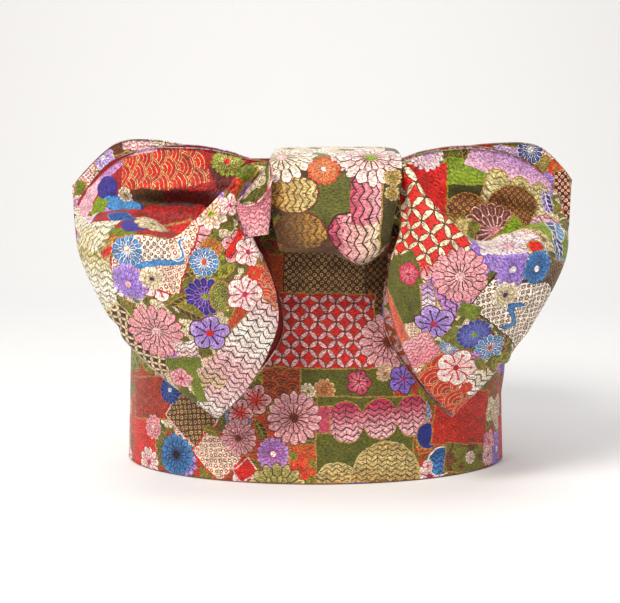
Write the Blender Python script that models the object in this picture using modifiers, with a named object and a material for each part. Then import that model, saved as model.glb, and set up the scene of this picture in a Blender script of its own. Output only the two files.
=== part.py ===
"""Obi sash tied in a drooping bunko bow, as it is worn, in metres with +Z up.

The origin is the centre of the torso hollow at the band's mid-height. The wearer's back,
where the bow sits, faces -Y, and +X is the wearer's right.
"""

import math
from collections import namedtuple

import bmesh
import bpy
import numpy as np

MM = 0.001

# The cloth.
WALL = 0.0025
SEAM_GAP = 0.0003
LAYER_GAP = 0.0006
KNOT_SEAM = 0.0009

# The band: two turns of cloth on an oval torso, a little wider at the hem.
BAND_HEIGHT = 0.270
BAND_HALF_WIDTH = 0.1685
BAND_HEM_FLARE = 0.0065
BAND_HALF_DEPTH = 0.128
TURN_LAP = WALL + 0.0012
TURN_SEGMENTS = 64
TURN_SEAM = 0.0006
BAND_ROWS = 6
FREE_EDGE_ANGLE = math.radians(80)
LAP_ANGLE = math.radians(44)
SAG_ANGLE = math.radians(90)
SAG_HALF_ANGLE = math.radians(13)
SAG_LEVEL = -0.045
SAG_HALF_HEIGHT = 0.055
SAG_DEPTH = 0.007

# The bow's pleated middle, and the layers that lie flat on each other in it.
KNOT_X = 0.0145
KNOT_BACK = -(BAND_HALF_DEPTH + SEAM_GAP + WALL / 2)
KNOT_LAYER = WALL + LAYER_GAP
REAR_BACK_Y = KNOT_BACK - KNOT_LAYER
REAR_FACE_Y = KNOT_BACK - 2 * KNOT_LAYER
FRONT_BACK_Y = KNOT_BACK - 3 * KNOT_LAYER

# The knot cover, a strip that runs round the bow's middle.
COVER_SAG = 0.014
COVER_SAG_X = 0.036
COVER_SAG_HALF = 0.017
COVER_SEGMENTS_ACROSS = 12
COVER_STEPS_PER_ROW = 3

# Ripples of the gathered cloth, counted across its width.
RIPPLES = 3
KNOT_RIPPLE_MM = 3

# Divisions of the cloth across its width, between the named lines of a loop.
FRONT_STEPS = (4, 3, 3, 4, 5)
REAR_STEPS = (4, 4)
KNOT_STEPS = 2
RESAMPLE_STEPS = (24, 24)

# A section across a loop's front layer, in millimetres: each point is the distance out from the
# middle of the back, the distance behind the torso's axis, and the height. The cloth runs from
# its upper edge down into a valley, over a lip and a ridge, and down its face to its lower edge.
# The face swells by two distances: away from the knot, and towards the viewer behind the wearer.
Front = namedtuple("Front", "name top valley lip ridge foot swell_out swell_back ripple steps")

LEFT_FRONT = (
    Front("waist", (55, 152, 143), (55, 161, 117), (54, 176, 130), (53, 190, 140), (56, 192, 94),
          0, 2, 3, 2),
    Front("first", (73, 150, 148), (75, 163, 92), (75, 182, 99), (74, 208, 118), (43, 198, 66),
          0, 5, 3, 2),
    Front("second", (91, 147, 151), (94, 163, 78), (94, 184, 84), (94, 218, 98), (33, 200, 39),
          1, 8, 2, 2),
    Front("corner", (113, 142, 152), (114, 161, 72), (114, 182, 84), (112, 222, 83), (31, 198, 14),
          2, 9, 1, 3),
    Front("third", (143, 134, 150), (145, 154, 84), (143, 172, 101), (145, 214, 85), (39, 192, -11),
          5, 10, 0, 3),
    Front("fourth", (173, 126, 135), (173, 146, 90), (171, 162, 100), (171, 198, 75), (56, 182, -42),
          10, 8, 0, 3),
    Front("fold", (200, 120, 108), (201, 132, 97), (200, 142, 90), (191, 165, 59), (82, 165, -71),
          15, 0, 0, 3),
)
RIGHT_FRONT = (
    Front("waist", (71, 152, 143), (71, 161, 117), (70, 176, 130), (70, 190, 140), (67, 192, 91),
          0, 2, 3, 2),
    Front("first", (89, 150, 148), (90, 163, 92), (89, 182, 99), (86, 208, 117), (61, 198, 66),
          0, 5, 3, 2),
    Front("second", (107, 147, 150), (110, 163, 76), (109, 184, 84), (105, 218, 97), (58, 200, 42),
          1, 8, 2, 2),
    Front("corner", (134, 142, 151), (139, 161, 64), (137, 180, 77), (132, 222, 72), (62, 198, 16),
          2, 9, 1, 3),
    Front("third", (164, 134, 145), (164, 154, 71), (162, 172, 85), (157, 214, 70), (72, 192, -11),
          4, 10, 0, 3),
    Front("fourth", (188, 126, 131), (186, 146, 80), (184, 162, 91), (182, 198, 72), (89, 182, -41),
          6, 8, 0, 3),
    Front("fold", (207, 120, 108), (208, 132, 97), (209, 142, 87), (203, 165, 59), (113, 165, -69),
          9, 0, 0, 3),
)

# The same loop's layer nearer the torso, and both layers of the loop nested behind it.
Back = namedtuple("Back", "name top middle foot steps")

LEFT_FRONT_RETURN = (
    Back("fourth", (173, 113, 140), (147, 137, 58), (64, 160, -52), 3),
    Back("corner", (113, 128, 154), (85, 151, 81), (27, 174, 4), 3),
    Back("first", (73, 136, 149), (66, 144, 107), (39, 162, 58), 2),
    Back("waist", (54, 139.5, 143), (54, 142, 114), (50, 148, 86), 2),
)
RIGHT_FRONT_RETURN = (
    Back("fourth", (186, 113, 136), (166, 137, 58), (92, 160, -50), 3),
    Back("corner", (134, 128, 153), (110, 151, 81), (57, 174, 6), 3),
    Back("first", (89, 136, 149), (82, 144, 107), (59, 164, 58), 2),
    Back("waist", (70, 139.5, 143), (70, 142, 114), (66, 148, 86), 2),
)
LEFT_REAR = (
    Back("waist", (55, 135, 141), (55, 136, 110), (52, 138, 78), 2),
    Back("first", (84, 130, 148), (80, 135, 90), (75, 142, 28), 2),
    Back("second", (138, 117, 158), (128, 123, 80), (108, 131, 0), 3),
    Back("third", (171, 107, 154), (162, 112, 75), (138, 117, -10), 2),
    Back("fold", (209, 97, 118), (202, 102, 62), (165, 106, -8), 3),
    Back("third", (171, 89, 151), (162, 93, 75), (138, 98, -8), 3),
    Back("second", (130, 97, 155), (122, 102, 80), (104, 111, 2), 2),
    Back("first", (88, 114, 146), (82, 118, 90), (75, 125, 29), 2),
    Back("waist", (55, 133, 140), (55, 133, 110), (52, 133, 79), 2),
)
RIGHT_REAR = (
    Back("waist", (71, 135, 141), (71, 136, 110), (66, 138, 78), 2),
    Back("first", (98, 129, 148), (94, 134, 90), (86, 141, 28), 2),
    Back("second", (150, 117, 155), (138, 123, 80), (112, 131, 0), 3),
    Back("third", (190, 107, 152), (176, 112, 75), (142, 117, -10), 2),
    Back("fold", (219, 97, 124), (212, 102, 62), (172, 106, -8), 3),
    Back("third", (188, 89, 149), (174, 93, 75), (142, 98, -8), 3),
    Back("second", (142, 96, 151), (132, 101, 80), (110, 110, 2), 2),
    Back("first", (98, 112, 147), (92, 116, 90), (86, 122, 29), 2),
    Back("waist", (71, 133, 140), (71, 133, 110), (66, 133, 79), 2),
)

# Sections of the gathered cloth where both wings meet under the knot cover.
KNOT_FRONT = dict(top=(153, 137), valley=(161, 109), lip=(171, 121), ridge=(184, 132), foot=(190, 93))
KNOT_LEVELS = dict(top=135, middle=109, foot=83)
BACK_LEVELS = ("top", "middle", "foot")

# The knot cover's course round the bow: distance behind the axis, height, both side edges and
# how much of the sag of its lower fold each line takes.
Course = namedtuple("Course", "name back up left right sag")
COVER_COURSE = (
    Course("front low", 199, 78, -31, 58, 1.0),
    Course("front middle", 207, 98, -35, 62, 0.4),
    Course("front high", 206, 126, -38, 67, 0.0),
    Course("brow", 196, 143, -37, 68, 0.0),
    Course("crown", 168, 150.5, -34, 67, 0.0),
    Course("nape", 137, 151.5, -32, 62, 0.0),
    Course("inside high", None, 145, -32, 60, 0.0),
    Course("inside middle", None, 108, -32, 58, 0.0),
    Course("inside low", None, 74, -32, 57, 0.0),
    Course("inside hem", 136, 67, -31, 57, 0.2),
    Course("under", 168, 70, -30, 57, 0.8),
)

# The funnel at the knot cover's left edge: each ring's centre, its long half-axis towards the
# upper right, and its short half-axis towards the viewer, in millimetres.
Ring = namedtuple("Ring", "name x back up long_x long_up short")
CUFF_RINGS = (
    Ring("mouth", -49, 214, 127, 12.5, 15.0, 7.0),
    Ring("throat", -48, 212.5, 119, 10.5, 10.0, 6.0),
    Ring("middle", -46.5, 211.5, 108, 8.5, 6.0, 4.8),
    Ring("low", -45, 210.5, 96, 6.0, 3.5, 3.8),
    Ring("toe", -43.5, 210, 85, 3.0, 1.0, 2.6),
)
CUFF_SIDES = 16
CUFF_WALL = 0.0016

COLLECTION_NAME = "obi_sash"
COLOURS = {
    "band_outer_turn": (0.42, 0.10, 0.06),
    "band_inner_turn": (0.30, 0.07, 0.06),
    "left_wing_front": (0.62, 0.36, 0.36),
    "left_wing_rear": (0.50, 0.30, 0.34),
    "right_wing_front": (0.62, 0.30, 0.24),
    "right_wing_rear": (0.50, 0.26, 0.30),
    "knot_cover": (0.55, 0.44, 0.24),
    "knot_cuff": (0.58, 0.24, 0.32),
}
SILK_ROUGHNESS = 0.42


def clear_scene():
    for old in list(bpy.data.objects):
        bpy.data.objects.remove(old, do_unlink=True)


def silk(name):
    material = bpy.data.materials.new(name + "_silk")
    material.use_nodes = True
    shader = material.node_tree.nodes["Principled BSDF"]
    shader.inputs["Base Color"].default_value = (*COLOURS[name], 1.0)
    shader.inputs["Roughness"].default_value = SILK_ROUGHNESS
    shader.inputs["Metallic"].default_value = 0.0
    return material


def smooth_step(x):
    x = min(max(x, 0.0), 1.0)
    return x * x * (3 - 2 * x)


def smooth_curve(points, steps, closed=False):
    """Points on a centripetal Catmull-Rom curve, with so many steps in each span."""
    points = np.asarray(points, float)
    if closed:
        padded = np.vstack([points[-1:], points, points[:2]])
    else:
        padded = np.vstack([2 * points[:1] - points[1:2], points, 2 * points[-1:] - points[-2:-1]])
    curve = []
    for i, count in enumerate(steps):
        p0, p1, p2, p3 = padded[i : i + 4]
        t1 = math.sqrt(np.linalg.norm(p1 - p0)) + 1e-9
        t2 = t1 + math.sqrt(np.linalg.norm(p2 - p1)) + 1e-9
        t3 = t2 + math.sqrt(np.linalg.norm(p3 - p2)) + 1e-9
        for k in range(count):
            t = t1 + (t2 - t1) * k / count
            a1 = p0 * (t1 - t) / t1 + p1 * t / t1
            a2 = p1 * (t2 - t) / (t2 - t1) + p2 * (t - t1) / (t2 - t1)
            a3 = p2 * (t3 - t) / (t3 - t2) + p3 * (t - t2) / (t3 - t2)
            b1 = a1 * (t2 - t) / t2 + a2 * t / t2
            b2 = a2 * (t3 - t) / (t3 - t1) + a3 * (t - t1) / (t3 - t1)
            curve.append(b1 * (t2 - t) / (t2 - t1) + b2 * (t - t1) / (t2 - t1))
    if not closed:
        curve.append(points[-1])
    return np.array(curve)


def cloth(name, grid, wall=WALL, closed=False, tip=False):
    """An open sheet through a grid of points, given its wall by Solidify."""
    mesh = bpy.data.meshes.new(name)
    sheet = bmesh.new()
    rows = [[sheet.verts.new(point) for point in row] for row in grid]
    pairs = list(zip(rows, rows[1:]))
    if closed:
        pairs.append((rows[-1], rows[0]))
    for near, far in pairs:
        for k in range(len(near) - 1):
            sheet.faces.new((near[k], near[k + 1], far[k + 1], far[k]))
    if tip:
        sheet.faces.new([row[-1] for row in rows])
    bmesh.ops.recalc_face_normals(sheet, faces=sheet.faces)
    sheet.to_mesh(mesh)
    sheet.free()
    mesh.shade_smooth()
    mesh.materials.append(silk(name))
    piece = bpy.data.objects.new(name, mesh)
    bpy.data.collections[COLLECTION_NAME].objects.link(piece)
    solidify = piece.modifiers.new("wall", "SOLIDIFY")
    solidify.thickness = wall
    solidify.offset = 0.0
    return piece


def band_point(angle, up, inward):
    """A point on the band's outer face; angle 0 is the middle of the back, +90 degrees is +X."""
    low = (BAND_HEIGHT / 2 - up) / BAND_HEIGHT
    half_width = BAND_HALF_WIDTH + BAND_HEM_FLARE * low**1.5 - inward
    half_depth = BAND_HALF_DEPTH - inward
    return (half_width * math.sin(angle), -half_depth * math.cos(angle), up)


def sag_of_under_turn(angle, up):
    """How far the cloth bags outward just before it dives under the free edge."""
    round_it = 1 - ((angle - SAG_ANGLE) / SAG_HALF_ANGLE) ** 2
    along_it = 1 - ((up - SAG_LEVEL) / SAG_HALF_HEIGHT) ** 2
    return SAG_DEPTH * max(round_it, 0.0) ** 2 * max(along_it, 0.0) ** 2


def band_turn(name, turn):
    """One turn of the band. It starts over the turn's end and spirals in under itself."""
    grid = []
    end_trim = TURN_SEAM / BAND_HALF_DEPTH if turn == 0 else 0.0
    sweep = 2 * math.pi - end_trim
    for k in range(TURN_SEGMENTS + 1):
        swept = sweep * k / TURN_SEGMENTS
        dive = smooth_step((swept - (2 * math.pi - LAP_ANGLE)) / LAP_ANGLE)
        inward = WALL / 2 + TURN_LAP * (turn + dive)
        angle = FREE_EDGE_ANGLE - swept
        column = []
        for row in range(BAND_ROWS + 1):
            up = BAND_HEIGHT * (row / BAND_ROWS - 0.5)
            sag = sag_of_under_turn(angle + 2 * math.pi, up) if turn == 0 else 0.0
            column.append(band_point(angle, up, inward - sag))
        grid.append(column)
    cloth(name, grid)


def place(point, side):
    out, back, up = point
    return np.array((side * out * MM, -back * MM, up * MM))


def knot_edge(side):
    """Where one wing's gathered cloth stops, a hair short of the other wing's."""
    return KNOT_X + side * KNOT_SEAM / 2


def front_line(section, side):
    """A front section's points from the upper edge to the lower edge."""
    lines = [place(getattr(section, key), side) for key in ("top", "valley", "lip", "ridge", "foot")]
    ridge, foot = lines[3], lines[4]
    fall = foot - ridge
    outward = np.array((side * abs(fall[2]), 0.0, -abs(fall[0])))
    outward /= np.linalg.norm(outward)
    face = (ridge + foot) / 2
    face += outward * section.swell_out * MM
    face[1] -= section.swell_back * MM
    lines.insert(4, face)
    curve = smooth_curve(lines, FRONT_STEPS)
    across = np.linspace(0.0, 1.0, len(curve))
    curve[:, 1] += section.ripple * MM * np.sin(2 * math.pi * RIPPLES * across)
    return curve


def through_three(points, steps):
    """A smooth line through three points, with as many divisions as the steps add up to."""
    fine = smooth_curve(points, RESAMPLE_STEPS)
    wanted = np.linspace(0, len(fine) - 1, sum(steps) + 1)
    return np.array([fine[int(round(w))] for w in wanted])


def back_line(section, side, steps):
    return through_three([place(getattr(section, key), side) for key in BACK_LEVELS], steps)


def knot_line(y, side, steps):
    return through_three([(knot_edge(side), y, KNOT_LEVELS[key] * MM) for key in BACK_LEVELS], steps)


def loft(lines, steps):
    """Smooth rows through the sections, one curve for each line along the cloth."""
    columns = [smooth_curve([line[k] for line in lines], steps) for k in range(len(lines[0]))]
    return np.array(columns).transpose(1, 0, 2)


def front_wing(name, side, face, back):
    knot = Front("knot", **{key: (0, *KNOT_FRONT[key]) for key in KNOT_FRONT},
                 swell_out=0, swell_back=0, ripple=KNOT_RIPPLE_MM, steps=KNOT_STEPS)
    start = front_line(knot, side)
    start[:, 0] = knot_edge(side)
    lines = [start] + [front_line(section, side) for section in face]
    lines += [back_line(section, side, FRONT_STEPS) for section in back]
    lines.append(knot_line(FRONT_BACK_Y, side, FRONT_STEPS))
    steps = [section.steps for section in face] + [section.steps for section in back] + [KNOT_STEPS]
    cloth(name, loft(lines, steps))


def rear_wing(name, side, sections):
    lines = [knot_line(REAR_FACE_Y, side, REAR_STEPS)]
    lines += [back_line(section, side, REAR_STEPS) for section in sections]
    lines.append(knot_line(REAR_BACK_Y, side, REAR_STEPS))
    steps = [section.steps for section in sections] + [KNOT_STEPS]
    cloth(name, loft(lines, steps))


def knot_cover():
    """The strip round the bow's middle: a ring whose lower fold sags unevenly."""
    grid = []
    for k in range(COVER_SEGMENTS_ACROSS + 1):
        share = k / COVER_SEGMENTS_ACROSS
        ring = []
        for course in COVER_COURSE:
            x = (course.left + (course.right - course.left) * share) * MM
            away = (x - COVER_SAG_X) / COVER_SAG_HALF
            drop = COVER_SAG * course.sag * math.exp(-away * away)
            y = KNOT_BACK if course.back is None else -course.back * MM
            ring.append((x, y, course.up * MM - drop))
        ring = smooth_curve(ring, [COVER_STEPS_PER_ROW] * len(ring), closed=True)
        ring[:, 1] = np.minimum(ring[:, 1], KNOT_BACK)
        grid.append(ring)
    cloth("knot_cover", np.array(grid).transpose(1, 0, 2), closed=True)


def knot_cuff():
    """The doubled corner of the knot cover, opened as a funnel."""
    grid = []
    for k in range(CUFF_SIDES):
        turn = 2 * math.pi * k / CUFF_SIDES
        grid.append([
            (
                (ring.x + ring.long_x * math.cos(turn)) * MM,
                -(ring.back + ring.short * math.sin(turn)) * MM,
                (ring.up + ring.long_up * math.cos(turn)) * MM,
            )
            for ring in CUFF_RINGS
        ])
    cloth("knot_cuff", grid, wall=CUFF_WALL, closed=True, tip=True)


def build():
    clear_scene()
    collection = bpy.data.collections.new(COLLECTION_NAME)
    bpy.context.scene.collection.children.link(collection)
    band_turn("band_outer_turn", 0)
    band_turn("band_inner_turn", 1)
    front_wing("left_wing_front", -1, LEFT_FRONT, LEFT_FRONT_RETURN)
    front_wing("right_wing_front", 1, RIGHT_FRONT, RIGHT_FRONT_RETURN)
    rear_wing("left_wing_rear", -1, LEFT_REAR)
    rear_wing("right_wing_rear", 1, RIGHT_REAR)
    knot_cover()
    knot_cuff()


build()
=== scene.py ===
"""Looks for an obi sash tied in a drooping bunko bow, as it is worn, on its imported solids.

Metres, +Z up. The wearer's back, where the bow sits, faces -Y, and +X is the wearer's right.
Every piece of cloth is a thin shell on the form of the solid that it stands for.
"""

import math
from collections import namedtuple

import bpy
import numpy as np
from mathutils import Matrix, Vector
from mathutils.bvhtree import BVHTree
from mathutils.interpolate import poly_3d_calc


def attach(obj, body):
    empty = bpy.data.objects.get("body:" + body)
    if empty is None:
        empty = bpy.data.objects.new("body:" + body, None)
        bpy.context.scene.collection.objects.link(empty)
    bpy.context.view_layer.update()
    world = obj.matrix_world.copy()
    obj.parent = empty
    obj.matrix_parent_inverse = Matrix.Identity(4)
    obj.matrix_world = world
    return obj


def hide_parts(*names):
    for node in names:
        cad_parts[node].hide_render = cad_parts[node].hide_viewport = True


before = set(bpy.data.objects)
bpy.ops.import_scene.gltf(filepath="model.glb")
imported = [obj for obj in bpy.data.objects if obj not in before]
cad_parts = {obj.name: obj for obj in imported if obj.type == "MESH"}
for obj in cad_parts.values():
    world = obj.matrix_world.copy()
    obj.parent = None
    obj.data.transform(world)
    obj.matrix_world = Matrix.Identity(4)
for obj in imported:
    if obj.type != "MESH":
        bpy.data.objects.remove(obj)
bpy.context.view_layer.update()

MM = 0.001

# The camera, and its picture in pixels: the size, the focal length and the point that it aims at.
AIM = Vector((0.0, 0.0, 0.017))
RISE = math.radians(6.4)
DISTANCE = 1.5
SENSOR = 36.0
PICTURE_WIDTH = 620
PICTURE_HEIGHT = 603
FOCUS = 1620
CENTRE_X = 316
CENTRE_Y = 291
BACKWARD = Vector((0.0, -math.cos(RISE), math.sin(RISE)))
UPWARD = Vector((0.0, math.sin(RISE), math.cos(RISE)))
RIGHTWARD = Vector((1.0, 0.0, 0.0))

# The cloth: how thick it looks, and the walls and gaps of the solids that the layers keep to.
CLOTH = 0.0019
CUFF_CLOTH = 0.0013
WALL = 0.0025
SEAM_GAP = 0.0003
LAYER_GAP = 0.0006
KNOT_SEAM = 0.0009

# The band: two turns on an oval torso, a little wider at the hem.
BAND_HEIGHT = 0.270
BAND_HALF_WIDTH = 0.1685
BAND_HEM_FLARE = 0.0065
BAND_HALF_DEPTH = 0.128
TURN_LAP = WALL + 0.0012
TURN_SEAM = 0.0006
FREE_EDGE_ANGLE = math.radians(80)
LAP_ANGLE = math.radians(44)
SAG_ANGLE = math.radians(90)
SAG_HALF_ANGLE = math.radians(13)
SAG_LEVEL = -0.045
SAG_HALF_HEIGHT = 0.055
SAG_DEPTH = 0.007

# The layers in the bow's middle.
KNOT_X = 0.0145
KNOT_BACK = -(BAND_HALF_DEPTH + SEAM_GAP + WALL / 2)
KNOT_LAYER = WALL + LAYER_GAP
REAR_BACK_Y = KNOT_BACK - KNOT_LAYER
REAR_FACE_Y = KNOT_BACK - 2 * KNOT_LAYER
FRONT_BACK_Y = KNOT_BACK - 3 * KNOT_LAYER

# The knot cover: how its lower front sags, and how its edges roll in towards its middle.
COVER_SAG = 0.014
COVER_SAG_X = 0.036
COVER_SAG_HALF = 0.017
COVER_ROLL = 0.16
COVER_ROLL_BACK = 0.004
COVER_ROLL_DOWN = 0.0015
COVER_DEPTH = 0.05
COVER_MIDDLE = 0.11
COVER_HALF = 0.04

RIPPLES = 3
FRONT_STEPS = (4, 3, 3, 4, 5)
REAR_STEPS = (4, 4)

# How much finer each shell is than its solid, across the cloth and along it, and the steps of the curves
# that evenly spaced points are taken from.
CURVE_STEPS = 240
FINE_ACROSS = 7
FINE_ALONG = 7
REAR_ACROSS = 11
BAND_SEGMENTS = 288
BAND_ROWS = 80
COVER_ACROSS = 84
COVER_STEPS = 14
CUFF_SIDES = 48
CUFF_STEPS = 7

# A section across a loop's front layer, in millimetres: each point is the distance out from the
# middle of the back, the distance behind the torso's axis, and the height.
Front = namedtuple("Front", "name top valley lip ridge foot swell_out swell_back ripple steps")
Back = namedtuple("Back", "name top middle foot steps")
Course = namedtuple("Course", "name back up left right sag")
Ring = namedtuple("Ring", "name x back up long_x long_up short")

LEFT_FRONT = (
    Front("waist", (55, 152, 143), (55, 161, 117), (54, 176, 130),
           (53, 190, 140), (56, 192, 94), 0, 2, 3, 2),
    Front("first", (73, 150, 148), (75, 163, 92), (75, 182, 99),
           (74, 208, 118), (43, 198, 66), 0, 5, 3, 2),
    Front("second", (91, 147, 151), (94, 163, 78), (94, 184, 84),
           (94, 218, 98), (33, 200, 39), 1, 8, 2, 2),
    Front("corner", (113, 142, 152), (114, 161, 72), (114, 182, 84),
           (112, 222, 83), (31, 198, 14), 2, 9, 1, 3),
    Front("third", (143, 134, 150), (145, 154, 84), (143, 172, 101),
           (145, 214, 85), (39, 192, -11), 5, 10, 0, 3),
    Front("fourth", (173, 126, 135), (173, 146, 90), (171, 162, 100),
           (171, 198, 75), (56, 182, -42), 10, 8, 0, 3),
    Front("fold", (200, 120, 108), (201, 132, 97), (200, 142, 90),
           (191, 165, 59), (82, 165, -71), 15, 0, 0, 3),
)
RIGHT_FRONT = (
    Front("waist", (71, 152, 143), (71, 161, 117), (70, 176, 130),
           (70, 190, 140), (67, 192, 91), 0, 2, 3, 2),
    Front("first", (89, 150, 148), (90, 163, 92), (89, 182, 99),
           (86, 208, 117), (61, 198, 66), 0, 5, 3, 2),
    Front("second", (107, 147, 150), (110, 163, 76), (109, 184, 84),
           (105, 218, 97), (58, 200, 42), 1, 8, 2, 2),
    Front("corner", (134, 142, 151), (139, 161, 64), (137, 180, 77),
           (132, 222, 72), (62, 198, 16), 2, 9, 1, 3),
    Front("third", (164, 134, 145), (164, 154, 71), (162, 172, 85),
           (157, 214, 70), (72, 192, -11), 4, 10, 0, 3),
    Front("fourth", (188, 126, 131), (186, 146, 80), (184, 162, 91),
           (182, 198, 72), (89, 182, -41), 6, 8, 0, 3),
    Front("fold", (207, 120, 108), (208, 132, 97), (209, 142, 87),
           (203, 165, 59), (113, 165, -69), 9, 0, 0, 3),
)

LEFT_FRONT_RETURN = (
    Back("fourth", (173, 113, 140), (147, 137, 58), (64, 160, -52), 3),
    Back("corner", (113, 128, 154), (85, 151, 81), (27, 174, 4), 3),
    Back("first", (73, 136, 149), (66, 144, 107), (39, 162, 58), 2),
    Back("waist", (54, 139.5, 143), (54, 142, 114), (50, 148, 86), 2),
)
RIGHT_FRONT_RETURN = (
    Back("fourth", (186, 113, 136), (166, 137, 58), (92, 160, -50), 3),
    Back("corner", (134, 128, 153), (110, 151, 81), (57, 174, 6), 3),
    Back("first", (89, 136, 149), (82, 144, 107), (59, 164, 58), 2),
    Back("waist", (70, 139.5, 143), (70, 142, 114), (66, 148, 86), 2),
)
LEFT_REAR = (
    Back("waist", (55, 135, 141), (55, 136, 110), (52, 138, 78), 2),
    Back("first", (84, 130, 148), (80, 135, 90), (75, 142, 28), 2),
    Back("second", (138, 117, 158), (128, 123, 80), (108, 131, 0), 3),
    Back("third", (171, 107, 154), (162, 112, 75), (138, 117, -10), 2),
    Back("fold", (209, 97, 118), (202, 102, 62), (165, 106, -8), 3),
    Back("third", (171, 89, 151), (162, 93, 75), (138, 98, -8), 3),
    Back("second", (130, 97, 155), (122, 102, 80), (104, 111, 2), 2),
    Back("first", (88, 114, 146), (82, 118, 90), (75, 125, 29), 2),
    Back("waist", (55, 133, 140), (55, 133, 110), (52, 133, 79), 2),
)
RIGHT_REAR = (
    Back("waist", (71, 135, 141), (71, 136, 110), (66, 138, 78), 2),
    Back("first", (98, 129, 148), (94, 134, 90), (86, 141, 28), 2),
    Back("second", (150, 117, 155), (138, 123, 80), (112, 131, 0), 3),
    Back("third", (190, 107, 152), (176, 112, 75), (142, 117, -10), 2),
    Back("fold", (219, 97, 124), (212, 102, 62), (172, 106, -8), 3),
    Back("third", (188, 89, 149), (174, 93, 75), (142, 98, -8), 3),
    Back("second", (142, 96, 151), (132, 101, 80), (110, 110, 2), 2),
    Back("first", (98, 112, 147), (92, 116, 90), (86, 122, 29), 2),
    Back("waist", (71, 133, 140), (71, 133, 110), (66, 133, 79), 2),
)

# The pleated middle of the bow, in millimetres: a loop's section there and the layers' levels behind it.
# Then the section's ripple, the steps up to it, and how crisply its ridge folds.
KNOT_FRONT = dict(top=(153, 137), valley=(161, 109), lip=(171, 121), ridge=(184, 132), foot=(190, 93))
KNOT_LEVELS = (135, 109, 83)
KNOT_RIPPLE = 3
KNOT_STEPS = 2
KNOT_CRISP = 0.8

COVER_COURSE = (
    Course("inside middle", None, 108, -32, 58, 0.0),
    Course("inside low", None, 74, -32, 57, 0.0),
    Course("inside hem", 136, 67, -31, 57, 0.2),
    Course("under", 168, 70, -30, 57, 0.8),
    Course("front low", 199, 78, -31, 58, 1.0),
    Course("front middle", 207, 98, -35, 62, 0.4),
    Course("front high", 206, 126, -38, 67, 0.0),
    Course("brow", 196, 143, -37, 68, 0.0),
    Course("crown", 168, 150.5, -34, 67, 0.0),
    Course("nape", 137, 151.5, -32, 62, 0.0),
    Course("inside high", None, 145, -32, 60, 0.0),
)

CUFF_RINGS = (
    Ring("mouth", -49, 214, 127, 12.5, 15.0, 7.0),
    Ring("throat", -48, 212.5, 119, 10.5, 10.0, 6.0),
    Ring("middle", -46.5, 211.5, 108, 8.5, 6.0, 4.8),
    Ring("low", -45, 210.5, 96, 6.0, 3.5, 3.8),
    Ring("toe", -43.5, 210, 85, 3.0, 1.0, 2.6),
)

# How far each of the funnel's rings dips on the side away from the wearer, which shares of that go aside
# and down, how far each ring is shifted as it is flattened, and the cloth's height and girth.
RIM_DIPS = (13.0, 8.0, 3.0, 0.0, 0.0)
RIM_DIP_ASIDE = 0.6
RIM_DIP_DOWN = 0.8
RING_SHIFTS = (0.0, -1.0, -2.0, -2.2, -2.2)
CUFF_HEIGHT = 0.045
CUFF_GIRTH = 0.085

# How crisply the cloth folds along the ridge of a front loop, at each section.
LEFT_CRISP = dict(waist=0.85, first=0.9, second=0.9, corner=0.7, third=0.15)
RIGHT_CRISP = dict(waist=0.85, first=0.9, second=0.9, corner=0.75, third=0.15)


def spline(points, steps, closed=False):
    """Points on a centripetal Catmull-Rom curve, or on one curve for each column of an array."""
    points = np.asarray(points, float)
    if closed:
        padded = np.concatenate([points[-1:], points, points[:2]])
    else:
        padded = np.concatenate([2 * points[:1] - points[1:2], points, 2 * points[-1:] - points[-2:-1]])
    rows = []
    for i, count in enumerate(steps):
        p0, p1, p2, p3 = padded[i : i + 4]
        t1, t2, t3 = np.cumsum([
            np.sqrt(np.linalg.norm(b - a, axis=-1, keepdims=True)) + 1e-9
            for a, b in ((p0, p1), (p1, p2), (p2, p3))
        ], axis=0)
        for k in range(count):
            t = t1 + (t2 - t1) * k / count
            a1 = p0 * (t1 - t) / t1 + p1 * t / t1
            a2 = p1 * (t2 - t) / (t2 - t1) + p2 * (t - t1) / (t2 - t1)
            a3 = p2 * (t3 - t) / (t3 - t2) + p3 * (t - t2) / (t3 - t2)
            b1 = a1 * (t2 - t) / t2 + a2 * t / t2
            b2 = a2 * (t3 - t) / (t3 - t1) + a3 * (t - t1) / (t3 - t1)
            rows.append(b1 * (t2 - t) / (t2 - t1) + b2 * (t - t1) / (t2 - t1))
    if not closed:
        rows.append(points[-1])
    return np.array(rows)


def place(point, side):
    """A section's point in metres, on the left (-1) or the right (1)."""
    out, back, up = point
    return np.array((side * out * MM, -back * MM, up * MM))


def knot_edge(side):
    """Where a side's layers end, at the seam in the knot."""
    return KNOT_X + side * KNOT_SEAM / 2


def front_line(section, side, crisp):
    """A front section's points from the upper edge to the lower edge."""
    lines = [place(getattr(section, key), side) for key in ("top", "valley", "lip", "ridge", "foot")]
    ridge, foot = lines[3], lines[4]
    fall = foot - ridge
    bulge = np.array((side * abs(fall[2]), 0.0, -abs(fall[0])))
    bulge /= np.linalg.norm(bulge)
    face = (ridge + foot) / 2
    face += bulge * section.swell_out * MM
    face[1] -= section.swell_back * MM
    lines.insert(4, face)
    steps = [step * FINE_ACROSS for step in FRONT_STEPS]
    curve = spline(lines, steps)
    folded = np.concatenate([
        np.linspace(a, b, count, endpoint=False) for a, b, count in zip(lines, lines[1:], steps)
    ] + [foot[None]])
    lip, at_ridge, at_face = (sum(steps[:k]) for k in (2, 3, 4))
    index = np.arange(len(curve))
    near = np.interp(index, (lip, at_ridge, at_face), (0, 1, 0))
    curve += (folded - curve) * (crisp * near**0.5)[:, None]
    across = np.linspace(0.0, 1.0, len(curve))
    curve[:, 1] += section.ripple * MM * np.sin(2 * math.pi * RIPPLES * across)
    return curve


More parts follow.
